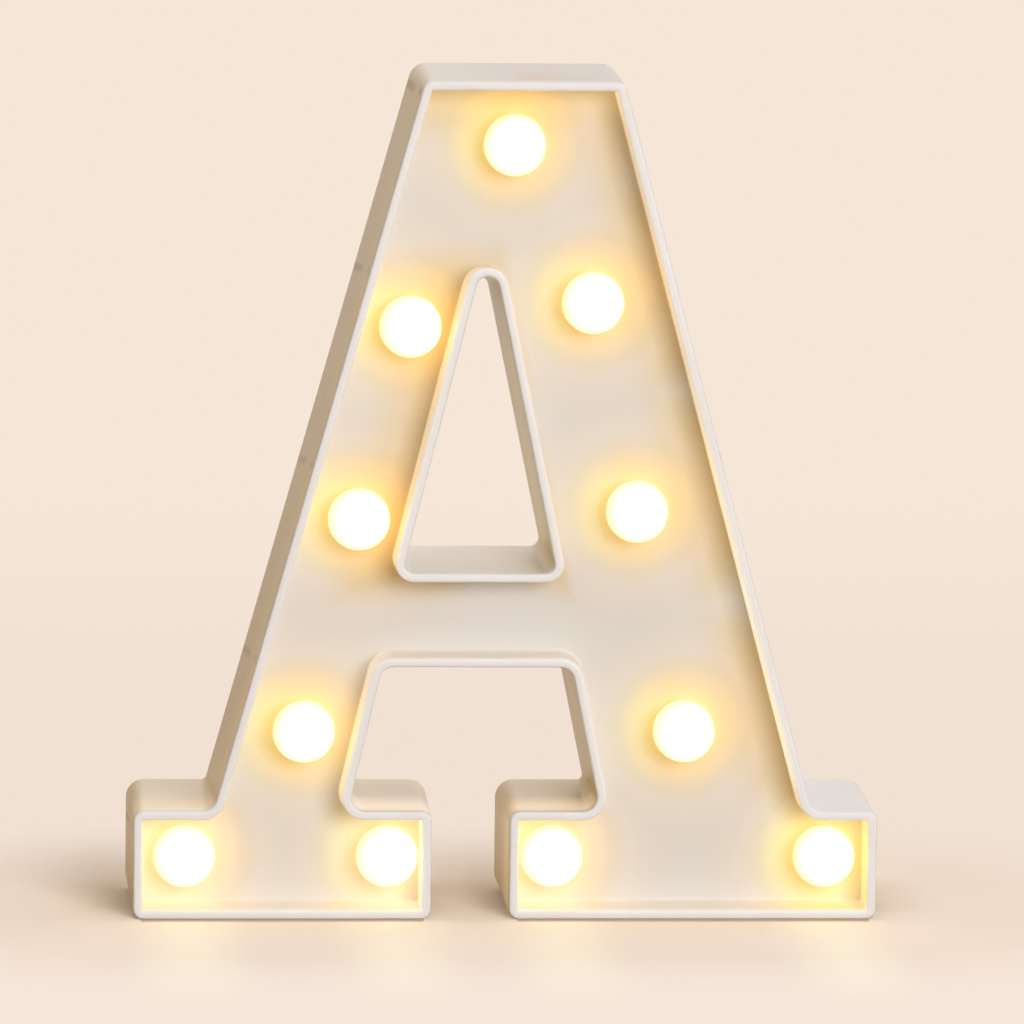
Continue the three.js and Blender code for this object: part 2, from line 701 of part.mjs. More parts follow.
// Rear cover: a flat plate inside the back lip, with the compartment, screw wells and keyholes.
function rearCover() {
  const plate = slab(
    ring(outsideCorners, coverInset, letterDepth),
    [ring(counterCorners, coverInset, letterDepth)],
    coverFace,
    letterDepth,
  );
  const joint = coverFace + coverThickness / 2;
  const wells = posts.map(({ x, z }) => bar(x, z, wellRadius, wellEnd, joint));
  const bayOuter = block(
    bayLeft - bayWall,
    bayRight + bayWall,
    bayFloorDepth - bayFloor,
    joint,
    bayBottom - bayWall,
    bayTop + bayWall,
  );
  const snapHouseEnd = snapBayEnd + snapLip;
  const snapFloorDepth = letterDepth - snapDepth - snapStrip - 2 * fitGap;
  const snapHouse = block(
    bayMiddle - snapBayHalf - bayFloor,
    bayMiddle + snapBayHalf + bayFloor,
    snapFloorDepth - bayFloor,
    joint,
    bayTop + bayWall / 2,
    snapHouseEnd + bayFloor,
  );
  const padHalf = switchPlateLength / 2 + switchPadMargin;
  const pad = block(
    switchX - padHalf,
    switchX + padHalf,
    switchPad,
    joint,
    switchZ - switchDishWidth / 2 - switchPadMargin,
    switchZ + switchDishWidth / 2 + switchPadMargin,
  );
  const back = letterDepth + overrun;
  const bayInner = block(bayLeft, bayRight, bayFloorDepth, back, bayBottom, bayTop);
  const doorway = block(doorLeft, doorRight, ledgeDepth, back, doorBottom, doorTop);
  const snapWay = alongX(
    [
      [doorTop - overrun, ledgeDepth],
      [snapStart, ledgeDepth],
      [snapStart, snapFloorDepth],
      [snapHouseEnd, snapFloorDepth],
      [snapHouseEnd, coverFace],
      [snapBayEnd, coverFace],
      [snapBayEnd, back],
      [doorTop - overrun, back],
    ],
    bayMiddle - snapBayHalf,
    bayMiddle + snapBayHalf,
  );
  const tabWays = tabXs.map((x) =>
    alongX(
      [
        [bayBottom - bayWall - overrun, coverFace - tabSwingDepth],
        [bayBottom + overrun, coverFace - tabSwingDepth],
        [bayBottom + overrun, back],
        [doorBottom, back],
        [doorBottom, coverFace],
        [bayBottom - bayWall - overrun, coverFace],
      ],
      x - tabWidth / 2 - fitGap,
      x + tabWidth / 2 + fitGap,
    ),
  );
  const contactSlits = cellXs.map((x) =>
    block(
      x - tabSlitHalf,
      x + tabSlitHalf,
      bayFloorDepth - bayFloor - overrun,
      bayFloorDepth + overrun,
      bayTop - contactSpace - fitGap,
      bayTop,
    ),
  );
  const wellBores = posts.map(({ x, z }) => bar(x, z, wellBoreRadius, letterDepth - wellDepth, back));
  const screwHoles = posts.map(({ x, z }) =>
    bar(x, z, postBoreRadius, wellEnd - overrun, back, screwSegments),
  );
  const keyholes = keyholeXs.flatMap((x) => [
    bar(x, keyholeZ, keyholeHeadRadius, coverFace - overrun, back, holeSegments),
    bar(x, keyholeZ + keyholeSlotLength, keyholeSlotWidth / 2, coverFace - overrun, back),
    block(
      x - keyholeSlotWidth / 2,
      x + keyholeSlotWidth / 2,
      coverFace - overrun,
      back,
      keyholeZ,
      keyholeZ + keyholeSlotLength,
    ),
  ]);
  const dish = block(
    switchX - switchDishLength / 2,
    switchX + switchDishLength / 2,
    letterDepth - switchDishDepth,
    back,
    switchZ - switchDishWidth / 2,
    switchZ + switchDishWidth / 2,
  );
  const slot = block(
    switchX - switchSlotHalf,
    switchX + switchSlotHalf,
    switchPad - overrun,
    back,
    switchZ - sliderWidth / 2 - fitGap,
    switchZ + sliderWidth / 2 + fitGap,
  );
  const switchBoreEnd = switchPlateFront - fitGap + switchScrewLength + fitGap;
  const switchBores = switchScrewXs.map((x) =>
    bar(x, switchZ, switchScrewRadius + fitGap, switchPad - overrun, switchBoreEnd, screwSegments),
  );
  const divider = slab(
    [
      new THREE.Vector2(bayMiddle - dividerThickness / 2, bayBottom + springSpace),
      new THREE.Vector2(bayMiddle + dividerThickness / 2, bayBottom + springSpace),
      new THREE.Vector2(bayMiddle + dividerThickness / 2, bayTop - springSpace),
      new THREE.Vector2(bayMiddle - dividerThickness / 2, bayTop - springSpace),
    ],
    [],
    bayFloorDepth - bayFloor / 2,
    bayFloorDepth + dividerHeight,
  );
  const body = cut(
    join(plate, ...wells, bayOuter, snapHouse, pad),
    bayInner,
    doorway,
    snapWay,
    ...tabWays,
    ...contactSlits,
    ...wellBores,
    ...screwHoles,
    ...keyholes,
    dish,
    slot,
    ...switchBores,
  );
  return join(body, divider);
}

// A profile of [z, y] pairs carried from x0 to x1.
function alongX(profile, x0, x1) {
  const shape = new THREE.Shape(profile.map(([z, y]) => new THREE.Vector2(z, y)));
  const geometry = new THREE.ExtrudeGeometry(shape, { depth: x1 - x0, bevelEnabled: false });
  const right = new THREE.Vector3(1, 0, 0);
  const back = new THREE.Vector3(0, 1, 0);
  const up = new THREE.Vector3(0, 0, 1);
  geometry.applyMatrix4(new THREE.Matrix4().makeBasis(up, back, right).setPosition(x0, 0, 0));
  return solid(geometry);
}

// Battery door: bevelled at its foot so that it can tilt about its two tabs.
function batteryDoor() {
  const face = letterDepth - fitGap / 2;
  const foot = doorBottom + doorGap;
  const head = doorTop - fitGap;
  const doorBevel = (face - doorUnder) * Math.tan(THREE.MathUtils.degToRad(doorTilt));
  const plate = alongX(
    [
      [foot, doorUnder],
      [head, doorUnder],
      [head, face],
      [foot + doorBevel, face],
    ],
    doorLeft + fitGap,
    doorRight - fitGap,
  );
  const tabTop = coverFace - fitGap;
  const tabs = tabXs.map((x) =>
    alongX(
      [
        [doorBottom - tabLength, tabTop - tabThickness],
        [foot + tabRoot, tabTop - tabThickness],
        [foot + tabRoot, doorUnder + doorThickness / 2],
        [foot + doorBevel / 2, doorUnder + doorThickness / 2 - fitGap],
        [foot, tabTop],
        [doorBottom - tabLength, tabTop],
      ],
      x - tabWidth / 2,
      x + tabWidth / 2,
    ),
  );
  const stripBottom = letterDepth - snapDepth;
  const firstLeg = snapStart + fitGap;
  const farLeg = snapEnd - snapNose;
  const snap = alongX(
    [
      [head - overrun, face],
      [head - overrun, doorUnder],
      [firstLeg, doorUnder],
      [firstLeg, stripBottom + snapStrip],
      [firstLeg + snapStrip, stripBottom],
      [farLeg - snapStrip, stripBottom],
      [farLeg, stripBottom + snapStrip],
      [farLeg, coverFace - snapStrip - snapNose],
      [snapEnd, coverFace - snapStrip],
      [snapEnd, coverFace - fitGap],
      [farLeg, coverFace - fitGap],
      [farLeg, face],
      [farLeg - snapStrip, face],
      [farLeg - snapStrip, stripBottom + 2 * snapStrip],
      [farLeg - 2 * snapStrip, stripBottom + snapStrip],
      [firstLeg + snapStrip + fitGap, stripBottom + snapStrip],
      [firstLeg + snapStrip, stripBottom + 2 * snapStrip],
      [firstLeg + snapStrip, face],
    ],
    bayMiddle - snapWidth / 2,
    bayMiddle + snapWidth / 2,
  );
  const grips = Array.from({ length: gripRibCount }, (_, i) => {
    const z = head - gripRibPitch * (i + 1);
    return block(
      bayMiddle - gripWidth / 2,
      bayMiddle + gripWidth / 2,
      face - gripRibHeight,
      face + overrun,
      z - gripRibHeight,
      z + gripRibHeight,
    );
  });
  return cut(join(plate, ...tabs, snap), ...grips);
}

// An AA cell along z, its nub up or down.
function cell(x, nubUp) {
  const body = cellLength - cellNubHeight;
  const profile = [
    [0, 0],
    [cellRadius - cellEdge, 0],
    [cellRadius, cellEdge],
    [cellRadius, body - cellEdge],
    [cellRadius - cellEdge, body],
    [cellNubRadius, body],
    [cellNubRadius, cellLength],
    [0, cellLength],
  ].map(([r, h]) => new THREE.Vector2(r, h));
  const geometry = new THREE.LatheGeometry(profile, cellSegments);
  geometry.rotateX(nubUp ? Math.PI / 2 : -Math.PI / 2);
  const z = nubUp ? bayBottom + springSpace : bayTop - springSpace;
  geometry.translate(x, cellDepth, z);
  return solid(geometry);
}

// A conical spring that grows from the end plate at z, up or down, and its least gap to itself.
function spring(x, z, up) {
  const steps = springTurns * springStepsPerTurn;
  const rise = springLength - 2 * springWireRadius;
  const centre = (share) => {
    const angle = share * springTurns * 2 * Math.PI;
    const radius = THREE.MathUtils.lerp(springBaseRadius, springTipRadius, share);
    const height = springWireRadius + rise * share;
    return new THREE.Vector3(radius * Math.cos(angle), radius * Math.sin(angle), up * height);
  };
  const positions = [];
  for (let i = 0; i <= steps; i++) {
    const point = centre(i / steps);
    const out = new THREE.Vector3(point.x, point.y, 0).normalize();
    for (let k = 0; k < springSides; k++) {
      const angle = (k / springSides) * 2 * Math.PI;
      const spot = point.clone().addScaledVector(out, springWireRadius * Math.cos(angle));
      spot.z += springWireRadius * Math.sin(angle);
      positions.push(spot.x + x, spot.y + cellDepth, spot.z + z);
    }
  }
  const faces = [];
  for (let i = 0; i < steps; i++) {
    for (let k = 0; k < springSides; k++) {
      const next = (k + 1) % springSides;
      const [a, b] = [i * springSides + k, i * springSides + next];
      faces.push(a, b, b + springSides, a, b + springSides, a + springSides);
    }
  }
  for (let k = 1; k < springSides - 1; k++) {
    faces.push(0, k + 1, k);
    const last = steps * springSides;
    faces.push(last, last + k, last + k + 1);
  }
  return closedSolid(positions, faces);
}

// The least space between one turn of the spring's wire and the next.
function springGap() {
  const rise = springLength - 2 * springWireRadius;
  const samples = springTurns * springStepsPerTurn * 4;
  const at = (i) => {
    const share = i / samples;
    const angle = share * springTurns * 2 * Math.PI;
    const radius = THREE.MathUtils.lerp(springBaseRadius, springTipRadius, share);
    return new THREE.Vector3(radius * Math.cos(angle), radius * Math.sin(angle), rise * share);
  };
  let least = Infinity;
  for (let i = 0; i <= samples; i++) {
    for (let j = i + samples / springTurns / 2; j <= samples; j++) {
      least = Math.min(least, at(i).distanceTo(at(j)) - 2 * springWireRadius);
    }
  }
  return least;
}

// A contact plate at one end of the compartment, from x0 to x1; facing is 1 at the foot and -1 at the head.
function contactPlate(x0, x1, facing) {
  const wall = facing > 0 ? bayBottom : bayTop;
  const near = wall + facing * fitGap;
  const far = near + facing * contactThickness;
  return block(x0, x1, contactLow, contactLow + contactSize, Math.min(near, far), Math.max(near, far));
}

function plateFace(facing) {
  return (facing > 0 ? bayBottom : bayTop) + facing * contactSpace;
}

// The raised spot that meets a cell's nub.
function contactNub(x, facing) {
  const geometry = new THREE.CylinderGeometry(
    cellNubRadius - contactNubHeight,
    cellNubRadius,
    contactNubHeight + contactThickness / 2,
    roundSegments,
  );
  geometry.rotateX((facing * Math.PI) / 2);
  const rise = (contactNubHeight - contactThickness / 2) / 2;
  geometry.translate(x, cellDepth, plateFace(facing) + facing * rise);
  return solid(geometry);
}

// The solder tab that passes through the compartment's floor.
function contactTab(x) {
  const near = bayTop - fitGap;
  return block(
    x - contactTabWidth / 2,
    x + contactTabWidth / 2,
    bayFloorDepth - bayFloor - contactTabReach,
    contactLow + overrun,
    near - contactThickness,
    near,
  );
}

function seatedSpring(x, facing) {
  return spring(x, plateFace(facing) - (facing * contactThickness) / 2, facing);
}

function contacts() {
  const half = contactSize / 2;
  const [left, right] = cellXs;
  return {
    bridge_contact: join(
      contactPlate(left - half, right + half, 1),
      seatedSpring(left, 1),
      contactNub(right, 1),
    ),
    positive_contact: join(
      contactPlate(left - half, left + half, -1),
      contactNub(left, -1),
      contactTab(left),
    ),
    negative_contact: join(
      contactPlate(right - half, right + half, -1),
      seatedSpring(right, -1),
      contactTab(right),
    ),
  };
}

// The switch's metal plate, folded down over the long sides of its base.
function switchFrame() {
  const halfWidth = switchBaseWidth / 2 + fitGap + switchPlateThickness;
  const plate = block(
    switchX - switchPlateLength / 2,
    switchX + switchPlateLength / 2,
    switchPlateFront,
    switchPlateBack,
    switchZ - halfWidth,
    switchZ + halfWidth,
  );
  const sides = [-1, 1].map((side) => {
    const outer = switchZ + side * halfWidth;
    const inner = outer - side * switchPlateThickness;
    return block(
      switchX - switchBaseLength / 2,
      switchX + switchBaseLength / 2,
      switchBaseBack - switchBaseDepth,
      switchPlateBack - fitGap / 2,
      Math.min(inner, outer),
      Math.max(inner, outer),
    );
  });
  const slot = block(
    switchX - switchSlotHalf,
    switchX + switchSlotHalf,
    switchPlateFront - overrun,
    switchPlateBack + overrun,
    switchZ - sliderWidth / 2 - fitGap,
    switchZ + sliderWidth / 2 + fitGap,
  );
  const [holeStart, holeEnd] = [switchPlateFront - overrun, switchPlateBack + overrun];
  const holes = switchScrewXs.map((x) =>
    bar(x, switchZ, switchScrewRadius + fitGap, holeStart, holeEnd, screwSegments),
  );
  return cut(join(plate, ...sides), slot, ...holes);
}

// The switch's moulded base, hollow for the slider's foot, with three pins.
function switchBase() {
  const front = switchBaseBack - switchBaseDepth;
  const outer = block(
    switchX - switchBaseLength / 2,
    switchX + switchBaseLength / 2,
    front,
    switchBaseBack,
    switchZ - switchBaseWidth / 2,
    switchZ + switchBaseWidth / 2,
  );
  const room = block(
    switchX - switchBaseLength / 2 + switchShell,
    switchX + switchBaseLength / 2 - switchShell,
    switchBaseBack - sliderFootThickness - 2 * fitGap,
    switchBaseBack + overrun,
    switchZ - switchBaseWidth / 2 + switchShell,
    switchZ + switchBaseWidth / 2 - switchShell,
  );
  const pins = [-1, 0, 1].map((side) => {
    const x = switchX + side * switchPinPitch;
    return block(
      x - switchPinSize / 2,
      x + switchPinSize / 2,
      front - switchPinLength,
      front + switchShell,
      switchZ - switchPinSize / 2,
      switchZ + switchPinSize / 2,
    );
  });
  return join(cut(outer, room), ...pins);
}

function switchSlider() {
  const footBack = switchBaseBack - fitGap;
  const foot = block(
    sliderRestX - sliderFootLength / 2,
    sliderRestX + sliderFootLength / 2,
    footBack - sliderFootThickness,
    footBack,
    switchZ - sliderFootWidth / 2,
    switchZ + sliderFootWidth / 2,
  );
  const stem = block(
    sliderRestX - sliderLength / 2,
    sliderRestX + sliderLength / 2,
    footBack - sliderFootThickness / 2,
    letterDepth - switchSink,
    switchZ - sliderWidth / 2,
    switchZ + sliderWidth / 2,
  );
  const grooves = [-1, 1].map((side) => {
    const x = sliderRestX + (side * sliderLength) / 4;
    return block(
      x - gripRibHeight / 2,
      x + gripRibHeight / 2,
      letterDepth - switchSink - gripRibHeight,
      letterDepth + overrun,
      switchZ - sliderWidth,
      switchZ + sliderWidth,
    );
  });
  return cut(join(foot, stem), ...grooves);
}

// Feed wires: cell to switch, switch to the red lamp wire, cell to the black lamp wire.
function feedWires() {
  const [left, right] = cellXs;
  const bayFront = bayFloorDepth - bayFloor - fitGap - wireRadius;
  const spread = 2 * wireRadius + fitGap;
  const aboveTab = bayTop + fitGap + wireRadius;
  const belowTab = bayTop - fitGap - contactThickness - fitGap - wireRadius;
  const pinLevel = switchBaseBack - switchBaseDepth - switchPinLength / 2;
  const pinSide = switchPinSize / 2 + fitGap + wireRadius;
  const besideWire = (name, side, distance) => {
    const { x, z, across } = lamps.find((place) => place.name === name);
    return new THREE.Vector2(x, z).addScaledVector(across, side * distance);
  };
  const redJoint = besideWire("mid_right", -1, wireOffset + spread + 2 * fitGap);
  const blackJoint = besideWire("leg_right", 1, wireOffset);
  return {
    positive_wire: wireAlong(
      [
        new THREE.Vector3(left, bayFront, aboveTab),
        new THREE.Vector3(left, bayFront, aboveTab + 2 * spread),
        new THREE.Vector3(switchX - switchPinPitch, pinLevel, switchZ - pinSide - 2 * spread),
        new THREE.Vector3(switchX - switchPinPitch, pinLevel, switchZ - pinSide),
      ],
      feedWireSteps,
    ),
    switched_wire: wireAlong(
      [
        new THREE.Vector3(switchX, pinLevel, switchZ + pinSide),
        new THREE.Vector3(switchX, pinLevel - spread, switchZ + pinSide + 2 * spread),
        new THREE.Vector3(redJoint.x, redDepth, redJoint.y),
      ],
      feedWireSteps,
    ),
    negative_wire: wireAlong(
      [
        new THREE.Vector3(right, bayFront, belowTab),
        new THREE.Vector3(right, bayFront, belowTab - 2 * spread),
        new THREE.Vector3(blackJoint.x, blackDepth + spread, blackJoint.y),
      ],
      feedWireSteps,
    ),
  };
}

// Finishes
const finishes = {
  whitePlastic: { color: 0xf1ebe2, roughness: 0.35, metalness: 0 },
  coverPlastic: { color: 0xeee8de, roughness: 0.5, metalness: 0 },
  frostedGlobe: {
    color: 0xfffbe2,
    roughness: 0.4,
    metalness: 0,
    emissive: 0xffe9a8,
    emissiveIntensity: 0.6,
  },
  lampEpoxy: { color: 0xf6dc8c, roughness: 0.2, metalness: 0 },
  redSleeve: { color: 0xb3201c, roughness: 0.5, metalness: 0 },
  blackSleeve: { color: 0x1c1c1e, roughness: 0.5, metalness: 0 },
  zincSteel: { color: 0xb9bcc0, roughness: 0.35, metalness: 1 },
  nickelStrip: { color: 0xc9c4b8, roughness: 0.3, metalness: 1 },
  cellSleeve: { color: 0x3c4a55, roughness: 0.35, metalness: 0.2 },
  darkPlastic: { color: 0x222326, roughness: 0.5, metalness: 0 },
};

const letter = new THREE.Group();
// The frame's origin lies under the middle of the whole, on the floor.
const globeProud = globeRadius + globeStand - recessDepth;
letter.position.set(-letterWidth / 2, (globeProud - letterDepth) / 2, 0);

function addPiece(name, body, finish) {
  const mesh = new THREE.Mesh(toGeometry(body), new THREE.MeshStandardMaterial(finishes[finish]));
  mesh.name = name;
  letter.add(mesh);
}

const coverScrew = {
  length: screwLength,
  radius: screwRadius,
  tip: screwTipLength,
  headRadius: screwHeadRadius,
  headHeight: screwHeadHeight,
  headEdge: screwHeadEdge,
};
const switchScrew = {
  length: switchScrewLength,
  radius: switchScrewRadius,
  tip: switchScrewRadius,
  headRadius: switchScrewHeadRadius,
  headHeight: switchScrewHeadHeight,
  headEdge: switchScrewHeadHeight / 2,
};

addPiece("front_shell", frontShell(), "whitePlastic");
addPiece("rear_cover", rearCover(), "coverPlastic");
addPiece("battery_door", batteryDoor(), "coverPlastic");
lamps.forEach((place) => {
  addPiece(`globe_${place.name}`, globe(place), "frostedGlobe");
  addPiece(`led_${place.name}`, lamp(place), "lampEpoxy");
});
addPiece("lamp_wire_red", lampWire(mainRoute, -1, redDepth), "redSleeve");
addPiece("lamp_wire_black", lampWire(mainRoute, 1, blackDepth), "blackSleeve");
Object.entries(footRoutes).forEach(([side, route]) => {
  addPiece(`${side}_foot_wire_red`, lampWire(route, -1, redDepth + wireStack), "redSleeve");
  addPiece(`${side}_foot_wire_black`, lampWire(route, 1, blackDepth + wireStack), "blackSleeve");
});
posts.forEach(({ x, z }, i) => {
  const body = screw(x, z, letterDepth - wellDepth + fitGap, coverScrew, 1);
  addPiece(`cover_screw_${i + 1}`, body, "zincSteel");
});
addPiece("battery_1", cell(cellXs[0], true), "cellSleeve");
addPiece("battery_2", cell(cellXs[1], false), "cellSleeve");
Object.entries(contacts()).forEach(([name, body]) => addPiece(name, body, "nickelStrip"));
addPiece("switch_frame", switchFrame(), "zincSteel");
addPiece("switch_base", switchBase(), "darkPlastic");
addPiece("switch_slider", switchSlider(), "darkPlastic");
switchScrewXs.forEach((x, i) => {
  const body = screw(x, switchZ, switchPlateFront - fitGap, switchScrew, -1);
  addPiece(`switch_screw_${i + 1}`, body, "zincSteel");
});
const feeds = feedWires();
addPiece("positive_wire", feeds.positive_wire, "redSleeve");
addPiece("switched_wire", feeds.switched_wire, "redSleeve");
addPiece("negative_wire", feeds.negative_wire, "blackSleeve");

console.log(`least gap between the spring's turns: ${springGap().toFixed(2)} mm`);
const doorAxis = [bayMiddle + letter.position.x, doorUnder + letter.position.y, doorBottom + doorGap];
const doorPlace = doorAxis.map((place) => place.toFixed(2)).join(", ");
console.log(`the door tilts ${doorTilt} degrees about ${doorPlace}`);

const part = new THREE.Group();
part.add(letter);
export default part;
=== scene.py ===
import math

import bmesh
import bpy
from mathutils import Euler, Matrix, Vector
from mathutils.geometry import delaunay_2d_cdt


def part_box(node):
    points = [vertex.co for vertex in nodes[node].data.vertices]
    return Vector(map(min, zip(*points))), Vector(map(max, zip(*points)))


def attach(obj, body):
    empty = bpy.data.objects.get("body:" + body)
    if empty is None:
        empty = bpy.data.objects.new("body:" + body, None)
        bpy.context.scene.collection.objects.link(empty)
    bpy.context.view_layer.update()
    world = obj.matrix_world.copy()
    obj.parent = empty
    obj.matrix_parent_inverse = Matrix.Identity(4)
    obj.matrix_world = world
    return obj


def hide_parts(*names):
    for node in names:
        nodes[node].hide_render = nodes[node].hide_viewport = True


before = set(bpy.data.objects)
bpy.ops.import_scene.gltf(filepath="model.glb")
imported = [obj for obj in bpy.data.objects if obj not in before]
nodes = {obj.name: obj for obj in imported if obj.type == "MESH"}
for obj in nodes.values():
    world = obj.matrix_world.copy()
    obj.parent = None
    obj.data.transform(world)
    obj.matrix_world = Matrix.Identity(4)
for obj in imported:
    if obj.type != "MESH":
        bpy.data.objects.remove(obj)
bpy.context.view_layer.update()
scene = bpy.context.scene
mm = 0.001
frameShift = Vector((-97.5, -21.45, 0))  # from the letter's own corner to the frame's origin
print("frame loaded:", len(nodes), "nodes")


def place(x, y, z):
    return (Vector((x, y, z)) + frameShift) * mm


# Three levels of 255 as the linear colour that a shader takes
def tone(*levels):
    return (*[((level / 255 + 0.055) / 1.055) ** 2.4 for level in levels], 1)


# Node trees: a wire is a socket that can be reckoned with, a sheet is a tree that takes nodes


def reckoned(operation, flipped=False):
    def reckon(self, *others):
        values = (*others, self) if flipped else (self, *others)
        return self.sheet.node("ShaderNodeMath", dict(enumerate(values)), operation=operation)

    return reckon


class Wire:
    def __init__(self, sheet, socket):
        self.sheet = sheet
        self.socket = socket

    __add__ = __radd__ = reckoned("ADD")
    __mul__ = __rmul__ = reckoned("MULTIPLY")
    __sub__ = reckoned("SUBTRACT")
    __rsub__ = reckoned("SUBTRACT", flipped=True)
    __truediv__ = reckoned("DIVIDE")
    __pow__ = reckoned("POWER")
    __abs__ = reckoned("ABSOLUTE")
    least = reckoned("MINIMUM")
    most = reckoned("MAXIMUM")
    softMost = reckoned("SMOOTH_MAX")


class Sheet:
    def __init__(self, tree):
        self.tree = tree

    # One node: the values or wires of its sockets by name or number, the output that is wanted, its settings.
    def node(self, kind, values, out=0, **settings):
        made = self.tree.nodes.new(kind)
        for name, value in settings.items():
            setattr(made, name, value)
        for key, value in values.items():
            for entry in value if isinstance(value, list) else [value]:
                if isinstance(entry, Wire):
                    self.tree.links.new(entry.socket, made.inputs[key])
                else:
                    made.inputs[key].default_value = entry
        return Wire(self, made.outputs[out]) if len(made.outputs) else None

    def outputs(self, kind, values, *outs):
        made = self.node(kind, values).socket.node
        return [Wire(self, made.outputs[out]) for out in outs]

    def axes(self, where):
        return self.outputs("ShaderNodeSeparateXYZ", {0: where}, 0, 1, 2)

    def mix(self, share, first, second, blend="MIX"):
        values = {0: share, 6: first, 7: second}
        return self.node("ShaderNodeMix", values, 2, data_type="RGBA", blend_type=blend)

    def noise(self, where, scale, detail=2.0, roughness=0.5):
        values = {"Vector": where, "Scale": scale, "Detail": detail, "Roughness": roughness}
        return self.node("ShaderNodeTexNoise", values)

    # A share without corners: 0 at the first value and 1 at the second, still 1 at a third and 0 at a fourth
    def fade(self, value, none, full, high=None, low=None):
        ends = {0: value, 1: none, 2: full}
        share = self.node("ShaderNodeMapRange", ends, interpolation_type="SMOOTHSTEP")
        return share if low is None else share * self.fade(value, low, high)

    def ramp(self, share, stops):
        made = self.node("ShaderNodeValToRGB", {0: share})
        elements = made.socket.node.color_ramp.elements
        while len(elements) < len(stops):
            elements.new(1)
        for element, (spot, colour) in zip(elements, stops):
            element.position = spot
            element.color = colour
        return made


class Finish(Sheet):
    def __init__(self, name):
        self.material = bpy.data.materials.new(name)
        self.material.use_nodes = True
        super().__init__(self.material.node_tree)
        self.tree.nodes.clear()
        self.where = self.node("ShaderNodeTexCoord", {}, 3)
        self.wires = {}  # what the bounds of a patch can name

    def marked(self, name):
        return self.node("ShaderNodeAttribute", {}, 2, attribute_name=name)

    def stretched(self, scale):
        return self.node("ShaderNodeMapping", {0: self.where, "Scale": scale})

    # The share of a patch: its bounds are the names of wires, each with what it fades between or nothing.
    def share(self, bounds):
        share = 1.0
        for name, values in bounds.items():
            wire = self.wires[name]
            share = (self.fade(wire, *values) if values else wire) * share
        return share

    # The colour with each patch blended in: its tint, or the name of the wire that gives it, and its bounds
    def patched(self, colour, blend, patches):
        for tint, bounds in patches:
            colour = self.mix(self.share(bounds), colour, self.wires.get(tint, tint), blend)
        return colour

    # Height times distance, in metres, becomes a bump.
    def bump(self, height, distance, strength=1.0):
        return self.node("ShaderNodeBump", {"Height": height, "Distance": distance, "Strength": strength})

    def surface(self, values):
        shader = self.node("ShaderNodeBsdfPrincipled", values)
        self.node("ShaderNodeOutputMaterial", {"Surface": shader})
        return self.material


# Camera and studio, in metres but for the camera

cameraView = {
    "aim": (0.392, -21.45, 107.812), "distance": 2207, "azimuth": -4.0, "elevation": 7.96,
    "roll": 0.721, "lens": 298.2, "sensor": 36, "clip": (0.05, 60),
}


def makeCamera(view):
    turn, lift, lean = [math.radians(view[key]) for key in ("azimuth", "elevation", "roll")]
    ahead = Vector((-math.sin(turn) * math.cos(lift), math.cos(turn) * math.cos(lift), -math.sin(lift)))
    level = Vector((math.cos(turn), math.sin(turn), 0))
    upright = level.cross(ahead)
    right = math.cos(lean) * level + math.sin(lean) * upright
    up = math.cos(lean) * upright - math.sin(lean) * level
    camera = bpy.data.objects.new("camera", bpy.data.cameras.new("camera"))
    camera.data.lens = view["lens"]
    camera.data.sensor_width = view["sensor"]
    camera.data.clip_start, camera.data.clip_end = view["clip"]
    pose = Matrix((right, up, -ahead)).transposed().to_4x4()
    pose.translation = (Vector(view["aim"]) - ahead * view["distance"]) * mm
    camera.matrix_world = pose
    scene.collection.objects.link(camera)
    scene.camera = camera


studio = {
    "wallTones": (tone(242, 226, 212), tone(246, 231, 218)),  # low and high
    "wallFade": (-0.2, 0.2),
    "ambient": ((0.165, 0.112, 0.045, 1), (0.33, 0.295, 0.26, 1)),  # from the left and from the right
    "ambientFade": (-0.6, 0.6), "aim": (0, 0, 0.1), "floorRadius": 9.0,
}
softboxes = [
    {"name": "keyLight", "at": (0.8, -2.5, 0.7), "size": 1.5, "watts": 50, "colour": (0.965, 0.98, 1)},
    {"name": "fillLight", "at": (-1.6, -2.2, 0.8), "size": 1.6, "watts": 5, "colour": (1, 0.9, 0.75)},
    {"name": "topLight", "at": (-0.15, 0.35, 2.0), "size": 1.8, "watts": 11, "colour": (0.93, 0.96, 1)},
    {"name": "backLight", "at": (0.3, 2.6, 0.9), "size": 1.8, "watts": 34, "colour": (1, 0.985, 0.95)},
]


